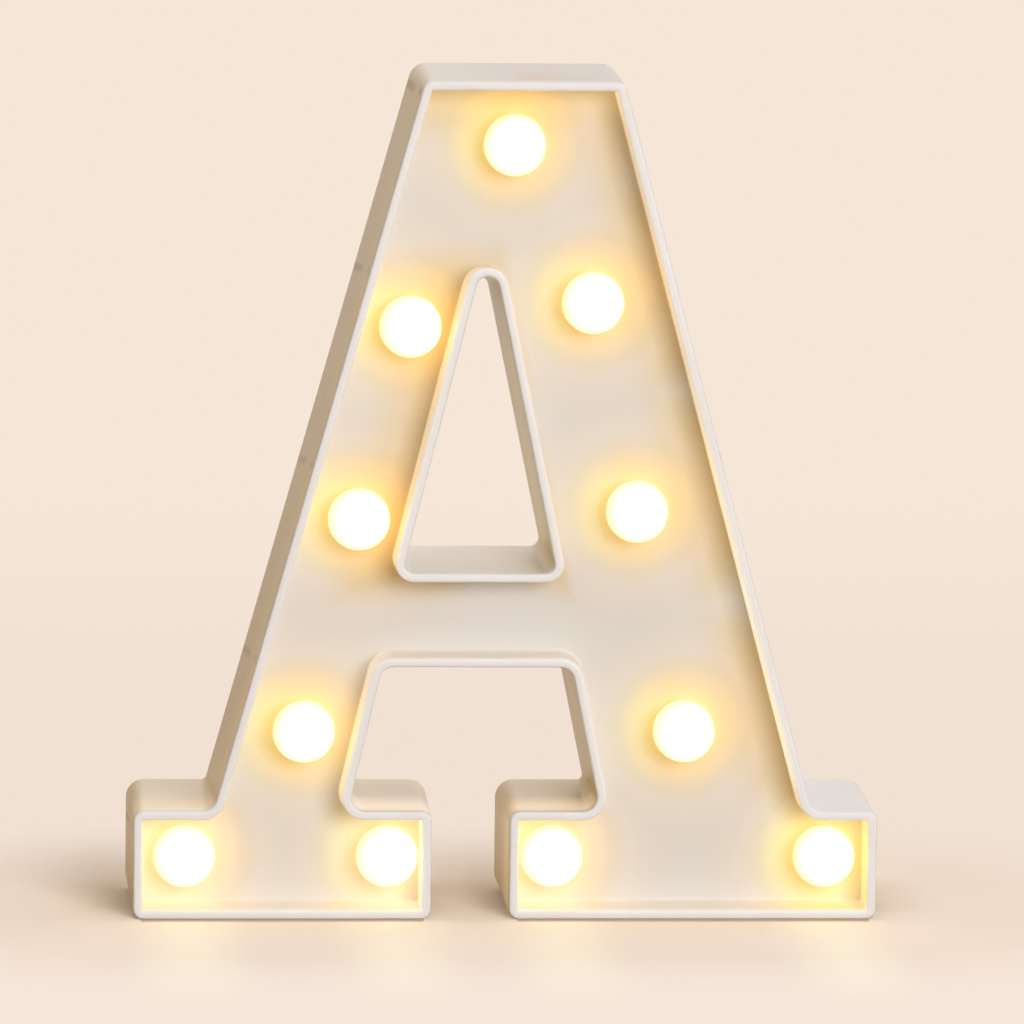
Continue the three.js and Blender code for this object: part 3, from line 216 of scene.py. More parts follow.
def makeStudio():
    scene.view_settings.view_transform = "Standard"
    world = bpy.data.worlds.new("studioWorld")
    scene.world = world
    world.use_nodes = True
    sky = Sheet(world.node_tree)
    sky.tree.nodes.clear()
    across, _, lift = sky.axes(sky.node("ShaderNodeTexCoord", {}))
    shown = sky.mix(sky.fade(lift, *studio["wallFade"]), *studio["wallTones"])
    sent = sky.mix(sky.fade(across, *studio["ambientFade"]), *studio["ambient"])
    backdrop = sky.node("ShaderNodeBackground", {0: sky.mix(rayShare(sky), sent, shown), 1: 1.0})
    sky.node("ShaderNodeOutputWorld", {"Surface": backdrop})
    for box in softboxes:
        lamp = bpy.data.lights.new(box["name"], "AREA")
        lamp.shape = "DISK"
        lamp.size = box["size"]
        lamp.energy = box["watts"]
        lamp.color = box["colour"]
        holder = bpy.data.objects.new(box["name"], lamp)
        holder.location = box["at"]
        away = Vector(box["at"]) - Vector(studio["aim"])
        holder.rotation_euler = away.to_track_quat("Z", "Y").to_euler()
        holder.visible_glossy = box["name"] != "backLight"  # it fills the back and gives no shine
        scene.collection.objects.link(holder)
    floor = bpy.data.objects.new("floor", bpy.data.meshes.new("floor"))
    shape = bmesh.new()
    bmesh.ops.create_circle(shape, cap_ends=True, segments=96, radius=studio["floorRadius"])
    shape.to_mesh(floor.data)
    shape.free()
    floor.data.materials.append(floorFinish())
    scene.collection.objects.link(floor)


# 1 for what the camera sees, straight, mirrored or through glass
def rayShare(sheet):
    kinds = ("Is Camera Ray", "Is Glossy Ray", "Is Transmission Ray")
    straight, mirrored, through = sheet.outputs("ShaderNodeLightPath", {}, *kinds)
    return straight.most(mirrored).most(through)


floorLook = {
    "paper": ((0.975, 0.845, 0.72, 1), (0.945, 0.815, 0.695, 1)),
    "grain": (320, 3), "grainShare": 0.25, "roughness": 0.4,
    "bounce": (0.34, 0.235, 0.12, 1),  # what the floor sends back to the letter
    "feet": [(-0.0953, -0.0218), (0.0031, 0.0953)],  # where each sole starts and ends
    "halfDepth": 0.0225,
    "lineBeside": 5,  # the painted shadow line under the soles is thinner beside them
    # Painted light pools on the floor in front of the lamps in the feet
    "poolLamps": ("toe_left", "heel_left", "heel_right", "toe_right"),
    "poolAcross": (0.02, 0.0),
    "poolBack": {"back": (-0.021, -0.026, -0.05, -0.15)},
    # The paper as the camera sees it, with painted shade, a painted shadow line and painted light
    "lit": [
        ((0.79, 0.715, 0.62, 1), {"away": (0.027, 0.0), "back": (-0.022, 0.0)}),  # painted shade under the letter
        # a painted shadow line under the soles
        ((0.5, 0.41, 0.33, 1), {"line": (0.0032, 0.0003)}),
        # painted light on the floor just in front of the letter
        ((1.07, 1.045, 1.05, 1), {"back": (-0.021, -0.027, -0.045, -0.075), "aside": (0.13, 0.088)}),
    ],
    "pool": [((1.11, 1.16, 1.08, 1), {"pool": ()})],  # painted light pools of the four lamps in the feet
    "near": tone(241, 225, 211),
    # Away from the letter the floor is the backdrop, a little paler further back and in front.
    "plain": [(tone(245, 230, 216), {"back": (0.3, 0.8)}), (tone(246, 230, 217), {"back": (-0.02, -0.07)})],
    "plainAway": {"away": (0.0, 0.1)},
    "plainFront": (0.15, 0.3, {"back": (-0.02, -0.06)}),  # its least share, and what is added in front, which lightens the shadow there
    # More of the plain backdrop on the right of the letter, which lightens the shadow there
    "plainRight": (0.35, {"across": (0.092, 0.104)}),
}


def floorFinish():
    look = floorLook
    f = Finish("floorPaper")
    seen = rayShare(f)
    across, back, _ = f.axes(f.where)
    left, right = [(abs(across - (low + high) / 2) - (high - low) / 2).most(0) for low, high in look["feet"]]
    beside = left.least(right)
    behind = (abs(back) - look["halfDepth"]).most(0)
    away = (beside * beside + behind * behind) ** 0.5
    line = beside * look["lineBeside"] + behind
    f.wires = {"across": across, "aside": abs(across), "back": back, "away": away, "line": line}
    pool = 0.0
    for name in look["poolLamps"]:
        low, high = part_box("globe_" + name)
        pool = f.fade(abs(across - (low[0] + high[0]) / 2), *look["poolAcross"]).most(pool)
    f.wires["pool"] = pool * f.share(look["poolBack"])
    lit = f.mix(f.noise(f.where, *look["grain"]) * look["grainShare"], *look["paper"])
    # Painted shade, a painted shadow line and painted light on the paper; the painted light pools on the
    # backdrop too
    lit = f.patched(lit, "MULTIPLY", look["lit"] + look["pool"])
    plain = f.patched(f.patched(look["near"], "MIX", look["plain"]), "MULTIPLY", look["pool"])
    least, more, inFront = look["plainFront"]
    most, onRight = look["plainRight"]
    share = f.share(look["plainAway"]).most(least + more * f.share(inFront)).most(most * f.share(onRight))
    paper = f.node("ShaderNodeBsdfDiffuse", {0: f.mix(seen, look["bounce"], lit), 1: look["roughness"]})
    backdrop = f.node("ShaderNodeEmission", {0: plain, 1: 1.0})
    both = f.node("ShaderNodeMixShader", {0: share * seen, 1: paper, 2: backdrop})
    f.node("ShaderNodeOutputMaterial", {"Surface": both})
    return f.material


makeCamera(cameraView)
makeStudio()
print("camera, floor and lights are set")


# Outline of the letter

letterWidth = 195
letterHeight = 220
letterDepth = 45
footHeight = 28.6
wallDraft = 1
# Each corner: x, z, radius at the rim, radius at the back edge. An edge that starts at a sole has no draft.
outsideCorners = [
    (0, 0, 2.7, 4.7, "sole"),
    (77.909, 0, 2.7, 4.7),
    (77.909, footHeight, 2.7, 4.7),
    (55.809, footHeight, 3.8, 1.4),
    (64.604, 66.792, 3.8, 1.4),
    (114.192, 66.792, 3.8, 1.4),
    (122.109, footHeight, 3.8, 1.4),
    (98.409, footHeight, 2.7, 4.7),
    (98.409, 0, 2.7, 4.7, "sole"),
    (letterWidth, 0, 2.7, 4.7),
    (letterWidth, footHeight, 2.7, 4.7),
    (177.7, footHeight, 3.8, 1.4),
    (125.892, letterHeight, 2.7, 4.7),
    (74.1, letterHeight, 2.7, 4.7),
    (20.8, footHeight, 3.8, 1.4),
    (0, footHeight, 2.7, 4.7),
]
counterCorners = [(69.498, 91.498, 2.4, 2.4), (91.202, 180.202, 3.1, 3.1), (109.902, 91.498, 2.4, 2.4)]
rightSide, leftSide = [[outsideCorners[k][:2] for k in ends] for ends in ((11, 12), (14, 13))]


# The outline at depth y, moved into the material by inset, as rounded points in x and z
def ring(corners, inset, y, steps=9):
    share = y / letterDepth
    edges = []
    for corner, ahead in zip(corners, corners[1:] + corners[:1]):
        along = Vector((ahead[0] - corner[0], ahead[1] - corner[1])).normalized()
        shift = (0 if "sole" in corner else wallDraft * share) - inset
        edges.append((along, Vector(corner[:2]) + Vector((along.y, -along.x)) * shift))
    points = []
    for corner, (before, first), (after, second) in zip(corners, edges[-1:] + edges, edges):
        turn = math.atan2(before.cross(after), before.dot(after))
        side = math.copysign(1, turn)
        tip = first + before * ((second - first).cross(after) / before.cross(after))
        radius = max(corner[2] + (corner[3] - corner[2]) * share - side * inset, 0.3)
        start = tip - before * (radius * math.tan(abs(turn) / 2))
        centre = start + Vector((-before.y, before.x)) * side * radius
        for k in range(steps + 1):
            arm = (start - centre).copy()
            arm.rotate(Matrix.Rotation(turn * k / steps, 2))
            points.append(centre + arm)
    return points


def sideAt(side, z):
    low, high = side
    return low[0] + (high[0] - low[0]) * (z - low[1]) / (high[1] - low[1])


# A piece's own middle in x and z, read from its CAD node
def middleOf(node):
    low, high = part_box(node)
    middle = (low + high) / 2 / mm - frameShift
    return middle.x, middle.z


leftLamps = ["heel_left", "toe_left", "leg_left", "mid_left", "high_left"]
rightLamps = ["high_right", "mid_right", "leg_right", "toe_right", "heel_right"]
lampPlaces = {name: middleOf("globe_" + name) for name in (*leftLamps, "top", *rightLamps)}
lampDepth = 6
screwNodes = [f"cover_screw_{k}" for k in range(1, 12)]
screwPlaces = [middleOf(node) for node in screwNodes]


# Mesh helpers


def quads(shape, rows):
    for row, following in zip(rows, rows[1:]):
        for i in range(len(row)):
            k = (i + 1) % len(row)
            shape.faces.new((row[i], row[k], following[k], following[i]))


# Fills a flat region between loops of existing vertices, the first outside and the others holes.
def fillBetween(shape, loops):
    flat = [[Vector((v.co.x, v.co.z)) / mm for v in loop] for loop in loops]
    points, edges, verts = [], [], []
    for loop, spots in zip(loops, flat):
        first = len(points)
        points += spots
        verts += loop
        edges += [(first + k, first + (k + 1) % len(loop)) for k in range(len(loop))]
    spots, _, faces, sources = delaunay_2d_cdt(points, edges, [], 1, 1e-6)[:4]
    for face in faces:
        centre = sum((spots[k] for k in face), Vector((0, 0))) / len(face)
        inside, *inHoles = [within(centre, loop) for loop in flat]
        if inside and not any(inHoles):
            shape.faces.new([verts[sources[k][0]] for k in face])


def within(point, loop):
    inside = False
    for a, b in zip(loop, loop[1:] + loop[:1]):
        if (a.y > point.y) != (b.y > point.y):
            if point.x < a.x + (b.x - a.x) * (point.y - a.y) / (b.y - a.y):
                inside = not inside
    return inside


# Points round x and z: where they start, how far they turn and in how many steps
def arc(x, z, radius, start, sweep, steps):
    turns = [start + sweep * k / steps for k in range(steps + 1)]
    return [Vector((x + radius * math.cos(t), z + radius * math.sin(t))) for t in turns]


def circle(x, z, radius, segments):
    return arc(x, z, radius, 0, 2 * math.pi, segments)[:-1]


def ringVerts(shape, points, y):
    return [shape.verts.new(place(p.x, y, p.y)) for p in points]


def addPrism(shape, points, y0, y1):
    front, back = ringVerts(shape, points, y0), ringVerts(shape, points, y1)
    quads(shape, [front, back])
    shape.faces.new(front)
    shape.faces.new(back)


def addBlock(shape, x0, x1, y0, y1, z0, z1):
    addPrism(shape, [Vector((x0, z0)), Vector((x1, z0)), Vector((x1, z1)), Vector((x0, z1))], y0, y1)


def addBar(shape, x, z, radius, y0, y1, segments=48):
    addPrism(shape, circle(x, z, radius, segments), y0, y1)


# A profile of radius and depth turned about a line along y; it starts and ends on that line.
def addTurned(shape, x, z, profile, segments):
    rows = [ringVerts(shape, circle(x, z, radius, segments), y) for radius, y in profile if radius > 0]
    quads(shape, rows)
    for row, (_, y) in ((rows[0], profile[0]), (rows[-1], profile[-1])):
        fan(shape, row, shape.verts.new(place(x, y, z)))


def fan(shape, row, tip):
    for k in range(len(row)):
        shape.faces.new((row[k], row[(k + 1) % len(row)], tip))


# A profile of z and y pairs carried from x0 to x1
def addAlongX(shape, profile, x0, x1):
    ends = [[shape.verts.new(place(x, y, z)) for z, y in profile] for x in (x0, x1)]
    quads(shape, ends)
    for end in ends:
        shape.faces.new(end)


def pieceFrom(name, shape, finish=None):
    bmesh.ops.recalc_face_normals(shape, faces=shape.faces)
    mesh = bpy.data.meshes.new(name)
    shape.to_mesh(mesh)
    shape.free()
    return pieceOf(name, mesh, finish)


def pieceOf(name, mesh, finish=None):
    piece = bpy.data.objects.new(name, mesh)
    scene.collection.objects.link(piece)
    if finish:
        dress(piece, finish)
    return piece


def dress(piece, finish):
    piece.data.materials.clear()
    piece.data.materials.append(finish)


# What the modifiers make of a piece, as a plain mesh that takes its place
def settled(piece):
    graph = bpy.context.evaluated_depsgraph_get()
    mesh = bpy.data.meshes.new_from_object(piece.evaluated_get(graph))
    piece.modifiers.clear()
    piece.data = mesh
    return piece


def smoothed(piece, angle, weighted=True):
    piece.data.polygons.foreach_set("use_smooth", [True] * len(piece.data.polygons))
    piece.data.set_sharp_from_angle(angle=math.radians(angle))
    if weighted:
        level = piece.modifiers.new("level", "WEIGHTED_NORMAL")
        level.keep_sharp = True
        level.weight = 80
        settled(piece)
    return piece


def edged(piece, width, angle=35):
    edge = piece.modifiers.new("edge", "BEVEL")
    edge.width = width * mm
    edge.segments = 2
    edge.limit_method = "ANGLE"
    edge.angle_limit = math.radians(angle)
    edge.use_clamp_overlap = False
    return settled(piece)


# Joined solids with everything in the cutters taken away, its flat faces in one piece each
def carved(name, solids, cutters, finish):
    piece = pieceFrom(name, solids, finish)
    tool = pieceFrom(name + "Tool", cutters)
    carve = piece.modifiers.new("carve", "BOOLEAN")
    carve.operation = "DIFFERENCE"
    carve.solver = "EXACT"
    carve.use_self = True
    carve.object = tool
    settled(piece)
    bpy.data.objects.remove(tool)
    tidyFlats(piece.data)
    return piece


def tidyFlats(mesh, doubles=0.002 * mm, bend=math.radians(0.6)):
    shape = bmesh.new()
    shape.from_mesh(mesh)
    bmesh.ops.remove_doubles(shape, verts=shape.verts, dist=doubles)
    bmesh.ops.dissolve_limit(shape, angle_limit=bend, verts=shape.verts, edges=shape.edges)
    shape.to_mesh(mesh)
    shape.free()


def settle(piece, body, slot, *replaced):
    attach(piece, body)
    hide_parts(*replaced)


# Finishes

lampSpots = [place(x, lampDepth, z) for x, z in lampPlaces.values()]


# Distance in millimetres to the nearest globe's middle, with the globes moved right by shift
def lampReach(f, shift=0.0):
    near = None
    for spot in lampSpots:
        moved = spot + Vector((shift * mm, 0, 0))
        gap = f.node("ShaderNodeVectorMath", {0: f.where, 1: moved}, 1, operation="DISTANCE")
        near = gap if near is None else near.least(gap)
    return near * 1000


shellMarks = ("recess", "facesLeft", "leftWall", "wallGlow", "footLight")
# The rows of recess, recessShine, glow, outside and the left walls' painted shade are patches:
# a tint, or the wire that gives it, and the bounds of the patch. Most of them paint light or shade into the
# plastic.
shellLook = {
    "whites": (tone(245, 242, 238), tone(240, 235, 229)),
    "cloud": (26, 3, 0.55), "grain": (1500, 3, 0.6), "ripple": (90, 2), "streak": (40, 900, 20),
    "roughness": (0.26, 0.12, 0.06), "heights": (0.6, 2.5), "bump": (0.00002, 0.6), "specular": 0.3,
    "lampReach": (8.0, 32.0),  # the ramps start here and run so far
    # Painted glow: the panel's colour turns amber near the globes, by distance
    "tints": [
        (0.0, (0.88, 0.72, 0.38, 1)),
        (0.22, (0.97, 0.88, 0.67, 1)),
        (0.42, (1, 0.98, 0.94, 1)),
        (1.0, (1, 1, 1, 1)),
    ],
    # Painted glow: light given off by the panel near the globes, by distance
    "shine": [
        (0.0, (0.40, 0.20, 0.03, 1)),
        (0.14, (0.26, 0.135, 0.03, 1)),
        (0.32, (0.11, 0.062, 0.02, 1)),
        (0.7, (0.055, 0.034, 0.01, 1)),
    ],
    "shadedShift": -2, "counterWeights": (4, 1.7, 1.5), "counterBlends": (16, 10), "counterTop": 166,
    "atToe": {"across": (60, 75), "up": (28, 24)},
    # Where painted warm shade lies along the walls on the right and above, and about the counter
    "amberWall": {"wallReach": (21, 4), "up": (24, 36), "away": (40, 26)},
    # Painted shade and glow: the whole recess darker and cooler, amber near the globes, warm shade along the
    # walls
    "recess": [((0.765, 0.78, 0.82, 1), {}), ("tint", {}), ((0.94, 0.82, 0.59, 1), {"amberWall": ()})],
    # Painted light added to the recess's glow
    "recessShine": [
        ((0.01, 0.05, 0.11, 1), {"offToe": (), "up": (34, 20), "away": (20, 12)}),  # the painted glow in the feet is paler
        ((0.01, 0.05, 0.01, 1), {"atToe": (), "up": (34, 20), "away": (20, 12)}),
        ((0.035, 0.11, 0.03, 1), {"shaded": (0, 2), "away": (24, 9)}),  # painted light on the globes' shaded sides, where the key light doesn't reach
        # painted light under the top rim
        ((0.13, 0.095, 0.03, 1), {"amberWall": (), "down": (13, 4)}),
    ],
    # Painted light on the outside: walls that look left, the rim's inner side, the feet's tops and the lower
    # right walls glow
    "glow": [
        ((0.33, 0.29, 0.225, 1), {"wallGlow": (), "offToe": ()}),
        ((0.25, 0.2, 0.12, 1), {"wallGlow": (), "atToe": ()}),
        ((0.3, 0.21, 0.11, 1), {"footLight": (), "back": (1.5, 4, 5, 25)}),
        ((0.27, 0.25, 0.20, 1), {"wallGlow": (), "across": (25, 45), "up": (30, 40, 80, 180)}),
    ],
    "leftWallShadeLow": (0.81, 0.65, 0.28, 1),  # painted shade on the walls that look left
    "warmth": [
        ((1.0, 0.91, 0.64, 1), {"up": (20, 200)}),
        ((1.0, 0.84, 0.42, 1), {"up": (29, 22)}),
    ],
    # Where painted warm shade lies near the globes: the left side of the letter and its middle
    "warmShadeLeft": {"across": (-20, -70)},
    "warmShadeMiddle": (0.7, {"across": (-2, 4, 25, 40)}),
    "outside": [
        # painted shade on the walls that look left, changing with height
        ("warmth", {"facesLeft": (), "back": (0.9, 2.8, 43.4, 44.4)}),
        ((1.015, 1.04, 1.1, 1), {"back": (3, 1.5)}),  # the bead, painted lighter and cooler: painted light
        ((0.89, 0.895, 0.93, 1), {"up": (216, 219.5), "back": (2, 4), "across": (-30, 10)}),  # painted shade: the top a little darker and cooler
        ((0.94, 0.975, 1.04, 1), {"across": (74, 82), "up": (27, 29)}),  # painted shade: the right foot's top cooler
        # painted shade towards the back of the feet's tops
        ((0.91, 0.83, 0.70, 1), {"footLight": (0, 0.4), "back": (12, 34)}),
        ((0.9714, 0.9692, 0.967, 1), {"streak": (0.45, 0.75)}),
        # painted shadows of the screw posts on the left wall, and painted amber glow below them
        ((0.60, 0.52, 0.40, 1), {"dark": (), "leftWall": ()}),
        ((1.2, 1.03, 0.6, 1), {"amber": (), "leftWall": ()}),
        # painted warm shade near the globes
        ((0.95, 0.84, 0.66, 1), {"away": (30, 13), "leftSide": (), "offLeft": (), "back": (2, 8)}),
    ],
}


# Millimetres from a spot of the panel to the walls on its right and above it, and to the counter,
# whose right, lower and upper sides count for more and whose corners are smoothed
def wallReach(across, up):
    def rightOf(low, high):
        run, rise = high[0] - low[0], high[1] - low[1]
        length = math.hypot(run, rise)
        shift = ((low[0] + frameShift.x) * rise - low[1] * run) / length
        return across * (rise / length) - up * (run / length) - shift

    byRight, byLow, byHigh = shellLook["counterWeights"]
    sideBlend, topBlend = shellLook["counterBlends"]
    left, top, right = [corner[:2] for corner in counterCorners]
    sides = (0 - rightOf(left, top)).softMost(rightOf(right, top) * byRight, sideBlend)
    counter = sides.most((left[1] - up) * byLow).softMost((up - shellLook["counterTop"]) * byHigh, topBlend)
    return (0 - rightOf(*rightSide)).least(letterHeight - up).least(counter)


# The painted shadows of the posts on the left wall and the painted glow below them
postShadowLook = {
    "posts": (167, 116, 65, 20.4), "postRise": 0.085,
    "corner": (215.6, 0.03, 1.6),  # height, rise and strength of the mark at the upper left corner
    "width": (1.7, 0.2), "amberDown": (0.5, 3.0, 8.0, 24.0), "amberLeast": 0.22,
    "amberBack": (1.4, 3.4, 4.0, 13.0), "grain": (190, 2), "strength": (0.35, 0.9),
    "backHalf": (16.0, 30.0), "rimSpot": (6, 0.8), "rimWidth": (3.5, 0.5),
}


# Painted shadow of each screw post on the left wall: a soft dark bar that rises towards the rim, with painted
# amber glow below it.
def paintedPostShadows(f, back, up):
    look = postShadowLook
    dark, amber = 0.0, 0.0
    for height, rise, strength in [(post, look["postRise"], 1) for post in look["posts"]] + [look["corner"]]:
        bar = up - height - (letterDepth - back) * rise
        dark = (strength * f.fade(abs(bar), *look["width"])).most(dark)
        if strength == 1:
            amber = f.fade(0 - bar, *look["amberDown"]).most(amber)
    least, byGrain = look["strength"]
    spot, share = look["rimSpot"]
    along = f.fade(back, *look["backHalf"]).most(f.fade(abs(back - spot), *look["rimWidth"]) * share)
    dark = dark * along * (least + byGrain * f.noise(f.where, *look["grain"]))
    return dark, (amber + look["amberLeast"]) * f.fade(back, *look["amberBack"])


def shellPlastic():
    look = shellLook
    f = Finish("shellPlastic")
    cloud, grain, ripple = [f.noise(f.where, *look[name]) for name in ("cloud", "grain", "ripple")]
    across, back, up = [axis * 1000 for axis in f.axes(f.where)]
    back = back - frameShift.y
    away = lampReach(f)
    wires = {"across": across, "back": back, "up": up, "down": letterHeight - up, "away": away}
    for name in shellMarks:
        wires[name] = f.marked(name)
    f.wires = wires
    wires["wallReach"] = wallReach(across, up)
    wires["shaded"] = away - lampReach(f, look["shadedShift"])
    wires["streak"] = f.noise(f.stretched(look["streak"]), 1.0, 4)
    # painted shadows of the posts and painted glow below them
    wires["dark"], wires["amber"] = paintedPostShadows(f, back, up)
    for name in ("atToe", "amberWall"):
        wires[name] = f.share(look[name])
    wires["offToe"] = 1 - wires["atToe"]
    wires["offLeft"] = 1 - wires["leftWall"]
    most, middle = look["warmShadeMiddle"]
    wires["leftSide"] = f.share(look["warmShadeLeft"]).most(most * f.share(middle))
    start, run = look["lampReach"]
    reach = (away - start) / run
    # the painted amber glow near the globes
    wires["tint"] = f.ramp(reach, look["tints"])
    # The painted shade of the walls that look left, changing with height
    wires["warmth"] = f.patched(look["leftWallShadeLow"], "MIX", look["warmth"])
    white = f.mix(cloud, *look["whites"])
    outside, inside = [f.patched(white, "MULTIPLY", look[name]) for name in ("outside", "recess")]
    # The recess's painted glow: amber light near the globes, in the feet, on the globes' shaded sides and
    # under the top rim
    shine = f.patched(f.ramp(reach, look["shine"]), "ADD", look["recessShine"])
    base, byCloud, byGrain = look["roughness"]
    fine, coarse = look["heights"]
    return f.surface({
        "Base Color": f.mix(wires["recess"], outside, inside),
        "Roughness": base + byCloud * cloud + byGrain * grain,
        "Normal": f.bump(grain * fine + ripple * coarse, *look["bump"]),
        # Painted light: the panel glows near the globes, and the outer walls, rim and feet glow where shade
        # falls
        "Emission Color": f.patched(f.mix(wires["recess"], (0, 0, 0, 1), shine), "ADD", look["glow"]),
        "Emission Strength": 1.0,
        "Specular IOR Level": look["specular"],
    })


globeLook = {
    "front": -23.55,  # of a globe, in the frame's own y
    "size": 16.2,
    "glow": [
        (0.1, (1.0, 0.995, 0.82, 1)),
        (0.2, (0.92, 0.905, 0.57, 1)),
        (0.3, (0.8, 0.785, 0.42, 1)),
        (0.46, (0.46, 0.44, 0.24, 1)),
        (0.6, (1.0, 0.84, 0.48, 1)),
    ],
    "blur": 0.03, "strength": 1.15,
    "tones": (tone(238, 232, 214), tone(228, 218, 190)),
    "frostShare": 0.3, "frost": (900, 3), "roughness": (0.42, 0.1), "bump": (0.00001, 0.5),
}


def frostedGlobe():
    look = globeLook
    f = Finish("frostedGlobe")
    depth = (f.axes(f.where)[1] * 1000 - look["front"]) / look["size"]
    frost = f.noise(f.where, *look["frost"])
    base, byFrost = look["roughness"]
    return f.surface({
        "Base Color": f.mix(frost * look["frostShare"], *look["tones"]),
        "Roughness": base + byFrost * frost,
        "Normal": f.bump(frost, *look["bump"]),
        "Emission Color": f.ramp(depth + look["blur"] * frost, look["glow"]),
        "Emission Strength": look["strength"],
    })


# The shares of a cloud and of a finer, stretched noise in the tone, the roughness and the height.
# The roughness starts from a base, and its last share is that of both noises together.
matt = {
    "cloud": (30, 3), "fine": (2600, 4, 0.65), "stretch": (1, 1, 1), "tones": (0.8, 0.2),
    "rough": (0.46, 0, 0.16, 0), "height": (1, 1), "bump": (0.00003, 0.7), "metallic": 0.0,
}
fineMatt = {**matt, "fine": (2600 / 0.7, 4, 0.65), "bump": (0.00003 * 0.7, 0.7)}
sleeve = {
    "cloud": (240, 3), "fine": (3000, 2), "stretch": (1, 1, 1), "tones": (1, 0),
    "rough": (0.38, 0.2, 0, 0), "height": (0, 1), "bump": (0.00001, 1), "metallic": 0.0,
}
zinc = {
    "cloud": (160, 4, 0.6), "fine": (1, 3), "stretch": (300, 4000, 300), "tones": (1, 0),
    "rough": (0.24, 0, 0, 0.2), "height": (0, 1), "bump": (0.000006, 1), "metallic": 1.0,
}
nickel = {**zinc, "rough": (0.2, 0, 0, 0.2)}


def plainFinish(name, look, light, dark):
    f = Finish(name)
    cloud = f.noise(f.where, *look["cloud"])
    fine = f.noise(f.stretched(look["stretch"]), *look["fine"])
    noises = (cloud, fine, cloud * fine)
    base, *rough = look["rough"]
    mixed, rough, height = [
        sum(noise * share for noise, share in zip(noises, shares) if share)
        for shares in (look["tones"], rough, look["height"])
    ]
    return f.surface({
        "Base Color": f.mix(mixed, light, dark),
        "Metallic": look["metallic"],
        "Roughness": base + rough,
        "Normal": f.bump(height, *look["bump"]),
    })


cellLook = {
    "middle": 42, "bandEdge": (17.5, 17.8),
    "bands": (tone(88, 118, 116), tone(206, 210, 204)),
    "soil": (0.75, 0.75, 0.78, 1), "soilShare": 0.4, "scuff": (900, 900, 90),
    "bare": tone(208, 208, 206), "metal": 0.95, "rough": (0.3, 0.22), "bump": 0.000008,
}


# Two plain bands of sleeve, with bare steel where the attribute says so
def cellSleeve():
    look = cellLook
    f = Finish("cellSleeve")
    bare = f.marked("bare")
    cloud = f.noise(f.where, *sleeve["cloud"])
    scuff = f.noise(f.stretched(look["scuff"]), 1.0, 3)
    up = f.axes(f.where)[2] * 1000
    bands = f.mix(f.fade(abs(up - look["middle"]), *look["bandEdge"]), *look["bands"])
    bands = f.mix(cloud * look["soilShare"], bands, look["soil"], "MULTIPLY")
    base, byScuff = look["rough"]
    return f.surface({
        "Base Color": f.mix(bare, bands, look["bare"]),
        "Metallic": bare * look["metal"],
        "Roughness": base + byScuff * cloud * scuff,
        "Normal": f.bump(scuff, look["bump"]),
    })


epoxyLook = {
    "swirl": (600, 2), "blur": 0.0006, "core": (-0.0035, -0.0105),
    "tones": (tone(240, 214, 140), tone(250, 236, 186)),
    "glow": ((0.5, 0.32, 0.08, 1), (1.0, 0.86, 0.5, 1)),
    "rough": (0.12, 0.1), "strength": 2.0,
}


def lampEpoxy():
    look = epoxyLook
    f = Finish("lampEpoxy")
    swirl = f.noise(f.where, *look["swirl"])
    core = f.fade(f.axes(f.where)[1] + swirl * look["blur"], *look["core"])
    base, bySwirl = look["rough"]
    return f.surface({
        "Base Color": f.mix(core, *look["tones"]),
        "Roughness": base + bySwirl * swirl,
        "Emission Color": f.mix(core, *look["glow"]),
        "Emission Strength": look["strength"],
    })


finishes = {
    "shell": shellPlastic(),
    "globe": frostedGlobe(),
    "cover": plainFinish("coverPlastic", matt, tone(238, 233, 225), tone(229, 222, 212)),
    "dark": plainFinish("darkPlastic", fineMatt, tone(38, 38, 41), tone(26, 26, 29)),
    "zinc": plainFinish("zincSteel", zinc, tone(205, 207, 209), tone(168, 171, 176)),
    "nickel": plainFinish("nickelStrip", nickel, tone(214, 208, 194), tone(186, 180, 166)),
    "red": plainFinish("redSleeve", sleeve, tone(188, 34, 28), tone(150, 20, 18)),
    "black": plainFinish("blackSleeve", sleeve, tone(34, 34, 37), tone(20, 20, 22)),
    "epoxy": lampEpoxy(),
    "cell": cellSleeve(),
}
print("finishes made:", len(finishes))


# Front shell: rim, recessed panel, draughted walls, screw posts and ribs

shell = {
    "beadRadius": 1.2, "beadSteps": 16,
    "beadFlat": 0.55,  # 1 is half round, less is flatter with rounder edges
    "beadFoot": (0.08, 3.2), "panelFront": 12, "panelBack": 14, "recessDraft": 0.3, "fillet": 0.8,
    "filletSteps": 5, "wall": 2, "ledge": 42.7, "lip": 1, "lipEdge": 0.1, "chamfer": 0.4,
    "lampHole": 4.1, "postRadius": 3, "postBore": 1.5, "postEdge": 0.2, "postStart": 13,
    "postEnd": 40.2, "boreDepth": 13, "ribHalf": 0.6, "ribEnd": 38.9,
}
# Where the walls of the shell carry painted light and painted shade
shellLight = {
    "footZ": (26, 27, 34),  # below the feet's tops, where the strokes' walls start, and above the tops
    "leftWithin": 3, "leftFoot": 5, "steep": 0.6, "toeX": 170, "leftToeX": 50, "leftToeShare": 0.45,
    "footShare": 0.5, "wallShare": 0.06, "rimShare": 0.4,
}
# The middle rib stands on the crossbar, and the heels' ribs reach their inner walls.
ribPlaces = {"middleX": (80, 98), "middleZ": (40, 90), "crossbarZ": 67.8, "heelZ": 15, "splitX": (88, 97)}


